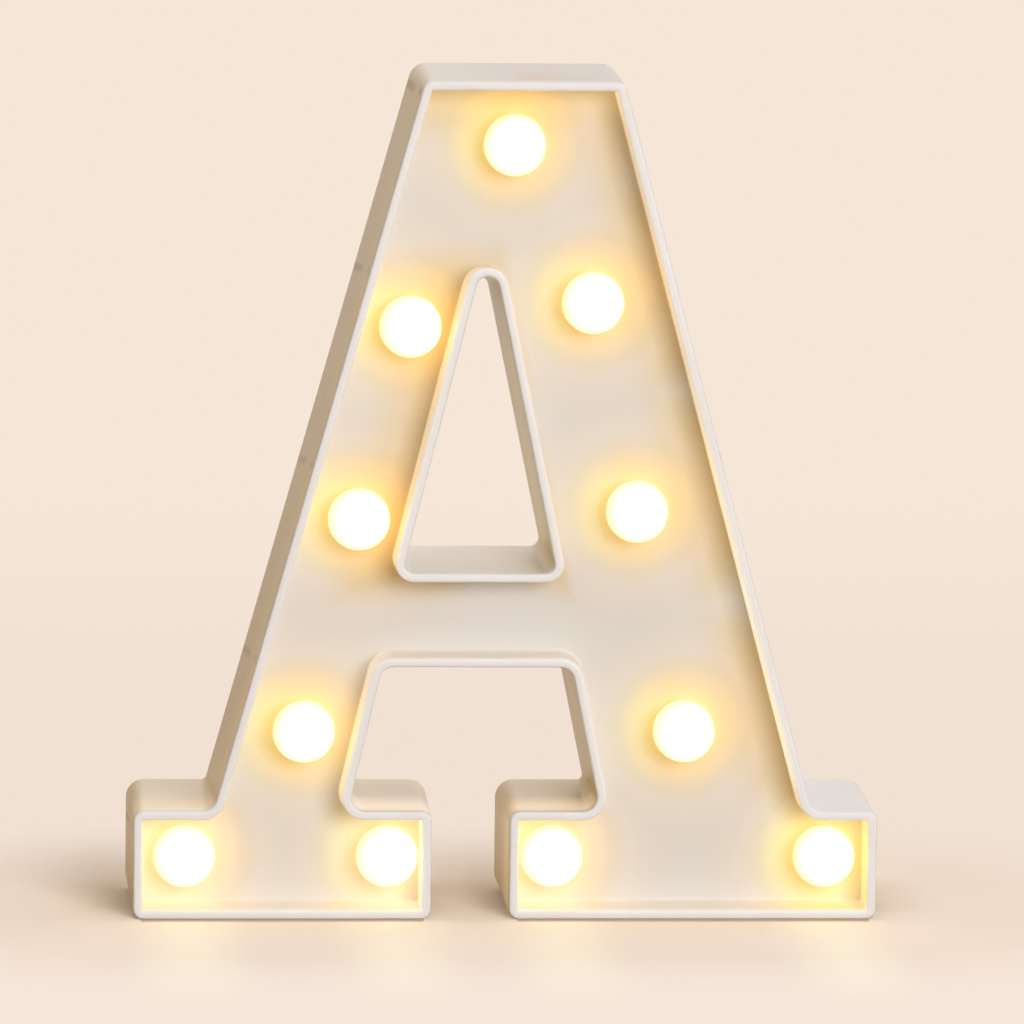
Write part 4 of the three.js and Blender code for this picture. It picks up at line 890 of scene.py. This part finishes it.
def shellSection(s):
    bead = s["beadRadius"]
    rim = 2 * bead
    centre = (rim + s["recessDraft"] + s["fillet"], s["panelFront"] - s["fillet"])
    section = []
    for k in range(s["filletSteps"] + 1):
        angle = math.radians(90 * k / s["filletSteps"])
        section.append((centre[0] - s["fillet"] * math.sin(angle), centre[1] + s["fillet"] * math.cos(angle)))
    section.append((rim + s["beadFoot"][0], s["beadFoot"][1]))
    for k in range(s["beadSteps"] + 1):
        angle = math.pi * (1 - k / s["beadSteps"])
        across, ahead = math.cos(angle), math.sin(angle)
        across = math.copysign(abs(across) ** s["beadFlat"], across)
        section.append((bead - bead * across, bead - bead * ahead ** s["beadFlat"]))
    return section + [
        (0, 3),
        (0, 44),
        (0, letterDepth - s["chamfer"]),
        (s["chamfer"], letterDepth),
        (s["lip"] - s["lipEdge"], letterDepth),
        (s["lip"], letterDepth - s["lipEdge"]),
        (s["lip"], s["ledge"]),
        (s["wall"], s["ledge"]),
        (s["wall"], 42),
        (s["wall"], 15),
        (s["wall"], s["panelBack"]),
    ]


# The shares of one row of vertices: painted light on the rim's inner side, or painted shade and painted light
# on the outside
def markRow(row, k, s, layers):
    light = shellLight
    footLow, sill, footHigh = light["footZ"]
    for before, vert, after in zip(row[-1:] + row, row, row[1:] + row[:1]):
        along = (after.co - before.co).normalized()
        x, z = vert.co.x / mm - frameShift.x, vert.co.z / mm
        if k >= s["filletSteps"] + s["beadSteps"] // 2 + 4:
            leftmost = x < (sideAt(leftSide, z) + light["leftWithin"] if z > sill else light["leftFoot"])
            towardsLeft = 0 if leftmost else max(0, -along.z)
            vert[layers["facesLeft"]] = max(0, -along.z)
            vert[layers["leftWall"]] = leftmost and along.z < -light["steep"]
            vert[layers["wallGlow"]] = light["wallShare"] * towardsLeft
            if footLow < z < footHigh and x < light["toeX"]:
                share = 1 if x > light["leftToeX"] else light["leftToeShare"]
                vert[layers["footLight"]] = max(0, -along.x) * share
            elif z < sill:
                vert[layers["footLight"]] = light["footShare"] * towardsLeft
        elif k >= s["filletSteps"] - 2:
            share = max(0, 1 - max(0, k - s["filletSteps"] - 2) / (s["beadSteps"] // 2))
            vert[layers["wallGlow"]] = share * (max(0, along.z) + light["rimShare"] * max(0, along.x))


def makeFrontShell():
    s = shell
    shape = bmesh.new()
    layers = {name: shape.verts.layers.float.new(name) for name in shellMarks}
    section = shellSection(s)
    fronts, backs = [], []
    for corners in (outsideCorners, counterCorners):
        rows = [ringVerts(shape, ring(corners, inset, y), y) for inset, y in section]
        quads(shape, rows)
        fronts.append(rows[0])
        backs.append(rows[-1])
        for k, row in enumerate(rows):
            markRow(row, k, s, layers)
            for vert in row if k < s["filletSteps"] + 2 else []:
                vert[layers["recess"]] = 1
    for x, z in lampPlaces.values():
        hole = circle(x, z, s["lampHole"], 40)
        rows = [ringVerts(shape, hole, y) for y in (s["panelFront"], s["panelBack"])]
        quads(shape, rows)
        fronts.append(rows[0])
        backs.append(rows[1])
        for vert in rows[0]:
            vert[layers["recess"]] = 1
    fillBetween(shape, fronts)
    fillBetween(shape, backs)
    bore, edge = s["postEnd"] - s["boreDepth"], s["postEdge"]
    post = [
        (0, s["postStart"]),
        (s["postRadius"], s["postStart"]),
        (s["postRadius"], s["postEnd"] - edge),
        (s["postRadius"] - edge, s["postEnd"]),
        (s["postBore"] + edge, s["postEnd"]),
        (s["postBore"], s["postEnd"] - edge),
        (s["postBore"], bore),
        (0, bore),
    ]
    for x, z in screwPlaces:
        addTurned(shape, x, z, post, 32)
        addBlock(shape, *ribRoom(x, z, s))
    piece = pieceFrom("frontShell", shape, finishes["shell"])
    smoothed(piece, 30)
    settle(piece, "case", "shell_plastic", "front_shell")


# The rib that ties a post to the nearest wall: level, except at the middle of the crossbar
def ribRoom(x, z, s):
    p = ribPlaces
    half = s["ribHalf"]
    if p["middleX"][0] < x < p["middleX"][1] and p["middleZ"][0] < z < p["middleZ"][1]:
        return x - half, x + half, s["postStart"], s["ribEnd"], p["crossbarZ"], z
    heelSplit, strokeSplit = p["splitX"]
    if z < p["heelZ"]:
        wall = outsideCorners[1][0] - 1 if x < heelSplit else outsideCorners[8][0] + 1
    elif x < strokeSplit:
        wall = (sideAt(leftSide, z) if z > footHeight else 0) + 1
    else:
        wall = (sideAt(rightSide, z) if z > footHeight else letterWidth) - 1
    return min(x, wall), max(x, wall), s["postStart"], s["ribEnd"], z - half, z + half


makeFrontShell()
print("front shell done")


# Geometry trees for what repeats; their sizes are lengths, and their whole numbers are counts


class Tree(Sheet):
    def __init__(self, name, sizes):
        super().__init__(bpy.data.node_groups.new(name, "GeometryNodeTree"))
        self.tree.is_modifier = True
        kinds = {float: "Float", int: "Int"}
        self.entrance("Places", "Geometry")
        self.inputs = {}
        for label, value in sizes.items():
            identifier = self.entrance(label, kinds[type(value)])
            self.inputs[identifier] = value * mm if type(value) is float else value
        self.finishInput = self.entrance("Finish", "Material")
        self.entrance("Geometry", "Geometry", "OUTPUT")
        self.entry = self.tree.nodes.new("NodeGroupInput")

    def entrance(self, label, kind, way="INPUT"):
        socket = self.tree.interface.new_socket(label, in_out=way, socket_type="NodeSocket" + kind)
        return socket.identifier

    def given(self, label):
        return Wire(self, self.entry.outputs[label])

    def vector(self, x=0.0, y=0.0, z=0.0):
        return self.node("ShaderNodeCombineXYZ", {0: x, 1: y, 2: z})

    def moved(self, mesh, height=0.0, turn=(0, 0, 0)):
        values = {"Geometry": mesh, "Translation": self.vector(z=height), "Rotation": turn}
        return self.node("GeometryNodeTransform", values)

    def bar(self, radius, start, end, segments):
        values = {"Vertices": segments, "Radius": radius, "Depth": end - start}
        return self.moved(self.node("GeometryNodeMeshCylinder", values), (start + end) * 0.5)

    def ball(self, radius, height, segments, rings):
        values = {"Segments": segments, "Rings": rings, "Radius": radius}
        return self.moved(self.node("GeometryNodeMeshUVSphere", values), height)

    def cone(self, foot, top, height, segments):
        values = {"Vertices": segments, "Radius Bottom": foot, "Radius Top": top, "Depth": height}
        return self.node("GeometryNodeMeshCone", values)

    def solid(self, operation, values):
        return self.node("GeometryNodeMeshBoolean", values, operation=operation, solver="EXACT")

    # Sets the mesh on every place, turned to look at the letter's back, and closes the tree.
    def finish(self, mesh, spin=None):
        mesh = self.moved(mesh, turn=Euler((-math.pi / 2, 0, 0)))
        spots = {"Points": self.given("Places"), "Instance": mesh}
        if spin is not None:
            spots["Rotation"] = spin
        placed = self.node("GeometryNodeInstanceOnPoints", spots)
        real = self.node("GeometryNodeRealizeInstances", {0: placed})
        dressed = self.node("GeometryNodeSetMaterial", {"Geometry": real, "Material": self.given("Finish")})
        self.tree.links.new(dressed.socket, self.tree.nodes.new("NodeGroupOutput").inputs[0])
        return self


# One mesh with the tree's shape at each place
def growAt(name, tree, places, finish):
    points = bpy.data.meshes.new(name)
    points.from_pydata(places, [], [])
    piece = pieceOf(name, points)
    grow = piece.modifiers.new("grow", "NODES")
    grow.node_group = tree.tree
    grow[tree.finishInput] = finish
    for identifier, value in tree.inputs.items():
        grow[identifier] = value
    return settled(piece)


globe = {
    "Globe Radius": 8.1, "Wall": 1.0, "Neck Radius": 3.8, "Neck Bore": 2.9,
    "Neck End": 11.6,  # behind the globe's middle
    "Barb Start": 8.3, "Barb Reach": 0.6, "Segments": 64,
}


def globeTree():
    t = Tree("lampGlobe", globe)
    radius, wall, neck, bore, end, barbStart, barbReach, segments = [t.given(label) for label in globe]
    barb = t.cone(neck + barbReach, neck - 0.3 * mm, end - barbStart, segments)
    outside = [t.ball(radius, 0.0, segments, 40), t.bar(neck, bore, end, segments), t.moved(barb, barbStart)]
    inside = [t.ball(radius - wall, 0.0, segments, 32), t.bar(bore, 0.0, end + 1.0 * mm, segments)]
    outside, inside = [t.solid("UNION", {1: solids}) for solids in (outside, inside)]
    return t.finish(t.solid("DIFFERENCE", {0: outside, 1: [inside]}))


globePlaces = [place(x, lampDepth, z) for x, z in lampPlaces.values()]
piece = growAt("lampGlobes", globeTree(), globePlaces, finishes["globe"])
smoothed(piece, 40, weighted=False)
settle(piece, "case", "frosted_globe", *["globe_" + name for name in lampPlaces])
print("globes done:", len(piece.data.polygons), "faces")


coverScrew = {
    "Head Radius": 2.7, "Head Height": 1.9, "Shank Radius": 1.2, "Shank Length": 12.0, "Tip": 1.6,
    "Cross Width": 0.62, "Cross Span": 2.9, "Cross Depth": 1.15, "Thread Turns": 9, "Segments": 40,
    "Seed": 4,
}
wellFloor = 41.8


# A pan head with a cross recess on a threaded shank; the head looks along z and sits on 0.
def screwTree():
    t = Tree("coverScrew", coverScrew)
    wires = [t.given(label) for label in coverScrew]
    radius, height, shankRadius, length, tip, width, span, depth, turns, segments, seed = wires
    crown = height * 0.5
    domeRadius = (radius * radius + crown * crown) / (crown * 2.0)
    dome = t.ball(domeRadius, height - domeRadius, 64, 48)
    head = t.solid("INTERSECT", {1: [t.bar(radius, 0.0, height + 0.2 * mm, segments), dome]})
    blade = t.node("GeometryNodeMeshCube", {"Size": t.vector(span, width, depth * 2.0)})
    blades = [t.moved(blade, height, Euler((0, 0, turn))) for turn in (0, math.pi / 2)]
    core = shankRadius - 0.28 * mm
    shank = t.bar(core, tip - length, 0.3 * mm, segments)
    point = t.moved(t.cone(core, 0.12 * mm, tip, segments), tip - length, Euler((math.pi, 0, 0)))
    path = {
        "Resolution": 20,
        "Rotations": turns,
        "Start Radius": core,
        "End Radius": core,
        "Height": length - tip - 1.2 * mm,
    }
    spiral = t.node("GeometryNodeCurveSpiral", path)
    ridge = t.node("GeometryNodeCurvePrimitiveCircle", {"Resolution": 4, "Radius": 0.26 * mm})
    thread = t.node("GeometryNodeCurveToMesh", {"Curve": spiral, "Profile Curve": ridge, "Fill Caps": True})
    thread = t.moved(thread, tip - length + 0.3 * mm)
    carvedHead = t.solid("DIFFERENCE", {0: head, 1: blades})
    body = t.node("GeometryNodeJoinGeometry", {0: [carvedHead, shank, point, thread]})
    spin = t.node("FunctionNodeRandomValue", {2: 0.0, 3: math.pi / 2, "Seed": seed}, 1, data_type="FLOAT")
    return t.finish(body, t.node("FunctionNodeEulerToRotation", {0: t.vector(y=spin)}))


screwSpots = [place(x, wellFloor, z) for x, z in screwPlaces]
piece = growAt("coverScrews", screwTree(), screwSpots, finishes["zinc"])
smoothed(piece, 35, weighted=False)
settle(piece, "case", "zinc_steel", *screwNodes)
print("cover screws done:", len(piece.data.polygons), "faces")


# Rear cover: a plate let into the shell, with screw wells, keyholes, the battery room and the switch pad

cover = {
    "inset": 1.3, "front": 43, "back": 45, "past": 46, "wellRadius": 4.1, "wellFront": 40.5,
    "wellBore": 3.1, "screwHole": 1.5, "edge": 0.28,
}
past = cover["past"]
# Blocks are x, y and z ranges; ways are z and y pairs that are cut out along x.
bay = {
    "outside": (126.785, 161.485, 26.55, 44, 9, 71.2),
    "inside": (128.785, 159.485, 27.95, 46, 11, 69.2),
    "doorway": (127.785, 160.485, 42.75, 46, 10, 70.2),
    "divider": (143.535, 144.735, 27.25, 31.36, 17.2, 63),
    "middle": 144.135,
    "snapHouse": (137.435, 150.835, 36.4, 44, 70.2, 78.7),
    "snapHalf": 5.3,
    "snapFoot": [(69, 42.75), (71.2, 42.75), (71.2, 37.8)],
    "snapTop": [(77.3, 37.8), (77.3, 43), (76.5, 43), (76.5, past), (69, past)],
    "tabs": (134.925, 153.345), "tabHalf": 3.3,
    "tabWay": [(8, 38.4), (12, 38.4), (12, past), (10.2, past), (10.2, 43), (8, 43)],
    "contacts": (136.535, 151.735), "slitHalf": 1.8, "slit": (25.55, 28.95, 68.2, 69.3),
}
keyholes = {"at": (64.50, 125.54), "head": 4.6, "slot": 1.8, "low": 132, "high": 141, "front": 42}
switchPad = {
    "at": (136.08, 88.2), "half": (11.6, 5.1), "round": 1.2, "front": 41.8, "back": 44,
    "dish": (5.25, 3.5), "dishFloor": 43.8, "slot": (3.55, 1.8), "slotRound": 0.5, "boreAt": 7.7,
    "bore": 1.2, "boreEnd": 43.9,
}


def boxOutline(x, z, halfWidth, halfHeight, radius, steps=6):
    points = []
    for quarter, (sx, sz) in enumerate(((1, 1), (-1, 1), (-1, -1), (1, -1))):
        centre = Vector((x + sx * (halfWidth - radius), z + sz * (halfHeight - radius)))
        for k in range(steps + 1):
            turn = math.pi / 2 * (quarter + k / steps)
            points.append(centre + Vector((math.cos(turn), math.sin(turn))) * radius)
    return points


# A head below and a narrow slot with a round end above it
def keyholeOutline(x, k, steps=24):
    start = math.atan2(math.sqrt(k["head"] ** 2 - k["slot"] ** 2), k["slot"])
    head = arc(x, k["low"], k["head"], math.pi - start, math.pi + 2 * start, steps)
    return head + arc(x, k["high"], k["slot"], 0, math.pi, steps // 2)


def coverSolids(c):
    shape = bmesh.new()
    fronts, backs = [], []
    for corners in (outsideCorners, counterCorners):
        points = ring(corners, c["inset"], letterDepth)
        front, back = [ringVerts(shape, points, y) for y in (c["front"], c["back"])]
        quads(shape, [front, back])
        fronts.append(front)
        backs.append(back)
    fillBetween(shape, fronts)
    fillBetween(shape, backs)
    for x, z in screwPlaces:
        addBar(shape, x, z, c["wellRadius"], c["wellFront"], c["back"] - 1)
    addBlock(shape, *bay["outside"])
    addBlock(shape, *bay["snapHouse"])
    p = switchPad
    addPrism(shape, boxOutline(*p["at"], *p["half"], p["round"]), p["front"], p["back"])
    return shape


# What is cut from the back ends behind it, and what goes right through starts in front of it.
def coverCutters(c):
    shape = bmesh.new()
    for x, z in screwPlaces:
        addBar(shape, x, z, c["wellBore"], wellFloor, past)
        addBar(shape, x, z, c["screwHole"], c["wellFront"] - 1, past - 0.5, 32)
    addBlock(shape, *bay["inside"])
    addBlock(shape, *bay["doorway"])
    middle, half = bay["middle"], bay["snapHalf"]
    addAlongX(shape, bay["snapFoot"] + bay["snapTop"], middle - half, middle + half)
    for x in bay["tabs"]:
        addAlongX(shape, bay["tabWay"], x - bay["tabHalf"], x + bay["tabHalf"])
    for x in bay["contacts"]:
        addBlock(shape, x - bay["slitHalf"], x + bay["slitHalf"], *bay["slit"])
    for x in keyholes["at"]:
        addPrism(shape, keyholeOutline(x, keyholes), keyholes["front"], past)
    p = switchPad
    x, z = p["at"]
    addPrism(shape, boxOutline(x, z, *p["dish"], p["round"]), p["dishFloor"], past)
    addPrism(shape, boxOutline(x, z, *p["slot"], p["slotRound"]), p["front"] - 1, past - 0.5)
    for boreX in (x - p["boreAt"], x + p["boreAt"]):
        addBar(shape, boreX, z, p["bore"], p["front"] - 1, p["boreEnd"], 32)
    return shape


piece = carved("rearCover", coverSolids(cover), coverCutters(cover), finishes["cover"])
shape = bmesh.new()
shape.from_mesh(piece.data)
addBlock(shape, *bay["divider"])
shape.to_mesh(piece.data)
shape.free()
edged(piece, cover["edge"])
smoothed(piece, 40)
settle(piece, "case", "cover_plastic", "rear_cover")
print("rear cover done:", len(piece.data.polygons), "faces")


# Battery door: a plate with two tabs below, a bent snap above and four grip grooves

door = {
    "width": (128.085, 160.185),
    "plate": [(10.4, 43.05), (69.9, 43.05), (69.9, 44.85), (12.2, 44.85)],
    "tab": [(7.8, 41.7), (12.7, 41.7), (12.7, 43.95), (11.3, 43.65), (10.4, 42.7), (7.8, 42.7)],
    "tabHalf": 3, "snapHalf": 5,
    "snapFoot": [(68.9, 44.85), (68.9, 43.05), (71.5, 43.05)],
    "bendAt": (73.6, 40.9), "bendOuter": (-2.1, -1.5), "bendInner": (1.1, -0.55),
    "catch": [(75.7, 41.5), (76.2, 42.0), (76.2, 42.7), (75.7, 42.7), (75.7, 44.85), (74.7, 44.85)],
    "snapEnd": [(72.5, 44.85)], "gripTop": 69.9, "gripStep": 2.2, "gripHalf": 8, "gripRadius": 0.62,
    "gripY": 44.97, "grips": 4, "edge": 0.3,
}


# Half a round of z and y pairs about a centre, the radii signed by where it starts and which way it bulges
def halfRound(centre, radii, steps):
    turns = [math.pi * k / steps for k in range(steps + 1)]
    return [(centre[0] + radii[0] * math.cos(t), centre[1] + radii[1] * math.sin(t)) for t in turns]


# The snap leaf goes in along its outer face, round the bend and back out to its catch and thumb tip.
def doorSolids(d):
    shape = bmesh.new()
    addAlongX(shape, d["plate"], *d["width"])
    for x in bay["tabs"]:
        addAlongX(shape, d["tab"], x - d["tabHalf"], x + d["tabHalf"])
    bend, inner = [halfRound(d["bendAt"], d[side], 8) for side in ("bendOuter", "bendInner")]
    leaf = d["snapFoot"] + bend + d["catch"] + inner + d["snapEnd"]
    addAlongX(shape, leaf, bay["middle"] - d["snapHalf"], bay["middle"] + d["snapHalf"])
    return shape


def doorCutters(d):
    shape = bmesh.new()
    for k in range(1, d["grips"] + 1):
        centre = (d["gripTop"] - d["gripStep"] * k, d["gripY"])
        groove = halfRound(centre, (d["gripRadius"], -d["gripRadius"]), 10)
        addAlongX(shape, groove, bay["middle"] - d["gripHalf"], bay["middle"] + d["gripHalf"])
    return shape


piece = carved("batteryDoor", doorSolids(door), doorCutters(door), finishes["cover"])
edged(piece, door["edge"])
smoothed(piece, 40)
settle(piece, "door", "cover_plastic", "battery_door")
print("battery door done:", len(piece.data.polygons), "faces")


# Copies of rigid nodes with their doubles merged, their flats joined and their edges broken
def refined(name, node, width, finish, angle):
    piece = pieceOf(name, nodes[node].data.copy(), finish)
    tidyFlats(piece.data)
    if width:
        edged(piece, width, angle)
    return smoothed(piece, angle + 10)


refinedNodes = [
    ("switchSlider", "switch_slider", "slider", "dark_plastic", "dark", 0.18, 30),
    ("switchBase", "switch_base", "case", "dark_plastic", "dark", 0.15, 30),
    ("switchFrame", "switch_frame", "case", "zinc_steel", "zinc", 0.12, 30),
    ("bridgeContact", "bridge_contact", "case", "nickel_strip", "nickel", 0, 42),
    ("positiveContact", "positive_contact", "case", "nickel_strip", "nickel", 0, 42),
    ("negativeContact", "negative_contact", "case", "nickel_strip", "nickel", 0, 42),
]
for name, node, body, slot, look, width, angle in refinedNodes:
    settle(refined(name, node, width, finishes[look], angle), body, slot, node)
print("switch and contacts done")


# Cells: a sleeve rolled over both ends, a plain steel bottom and a nub inside a paper ring

cell = {
    "radius": 7.25, "length": 50.5,
    "bottom": [(0, 0.25, 1), (5.4, 0.25, 1), (5.7, 0.0, 1), (6.0, 0.0, 1), (6.05, 0.02, 0)],
    "edge": 0.8, "roll": 0.35, "rollEnd": 6.0, "rollDepth": 0.05, "ringAt": 0.5,
    "ring": (5.95, 5.2, 3.1), "paper": 0.6, "nubFoot": (3.05, 0.45), "nubRadius": 2.75,
    "nubEdge": 0.4, "nubHeight": 1.2, "y": 35.5, "turns": 64, "steps": 6,
}


# Radius, height and bare share along one cell, from its bottom to the tip of its nub
def cellProfile(c):
    radius, length, edge = c["radius"], c["length"] - c["nubHeight"], c["edge"]
    top, ring = length - c["roll"], length - c["ringAt"]
    turns = [math.pi / 2 * k / c["steps"] for k in range(c["steps"] + 1)]
    rises = [(1 - math.sin(turn), 1 - math.cos(turn)) for turn in turns]
    ringOut, ringMiddle, ringIn = c["ring"]
    return [
        *c["bottom"],
        *[(radius - edge * first, edge * second, 0) for first, second in rises],
        *[(radius - edge * second, top - edge * first, 0) for first, second in rises],
        (c["rollEnd"], top - c["rollDepth"], 0),
        (ringOut, ring, 0),
        (ringMiddle, ring, c["paper"]),
        (ringIn, ring, c["paper"]),
        (c["nubFoot"][0], length - c["nubFoot"][1], 1),
        *[(c["nubRadius"] - c["nubEdge"] * b, c["length"] - c["nubEdge"] * a, 1) for a, b in rises],
        (0, c["length"], 1),
    ]


# The cell of a node, with its nub up or down
def makeCell(name, node, upward):
    low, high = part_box(node)
    bottom, top = low.z / mm, high.z / mm
    x = (low.x + high.x) / 2 / mm - frameShift.x
    shape = bmesh.new()
    bare = shape.verts.layers.float.new("bare")
    rows = []
    for radius, height, share in cellProfile(cell):
        z = bottom + height if upward else top - height
        turns = [2 * math.pi * k / cell["turns"] for k in range(cell["turns"])] if radius else [0]
        row = []
        for turn in turns:
            spot = place(x + radius * math.cos(turn), cell["y"] + radius * math.sin(turn), z)
            row.append(shape.verts.new(spot))
            row[-1][bare] = share
        rows.append(row)
    (lowTip,), *rows, (highTip,) = rows
    quads(shape, rows)
    fan(shape, rows[0], lowTip)
    fan(shape, rows[-1], highTip)
    piece = smoothed(pieceFrom(name, shape, finishes["cell"]), 40)
    settle(piece, "case", "cell_sleeve", node)


makeCell("cellUp", "battery_1", upward=True)
makeCell("cellDown", "battery_2", upward=False)
print("cells done")


# Carried-over pieces

carried = {
    "red": ["lamp_wire_red", "left_foot_wire_red", "right_foot_wire_red", "positive_wire", "switched_wire"],
    "black": ["lamp_wire_black", "left_foot_wire_black", "right_foot_wire_black", "negative_wire"],
    "zinc": ["switch_screw_1", "switch_screw_2"],
    "epoxy": ["led_" + name for name in lampPlaces],
}
for look, names in carried.items():
    for name in names:
        dress(nodes[name], finishes[look])
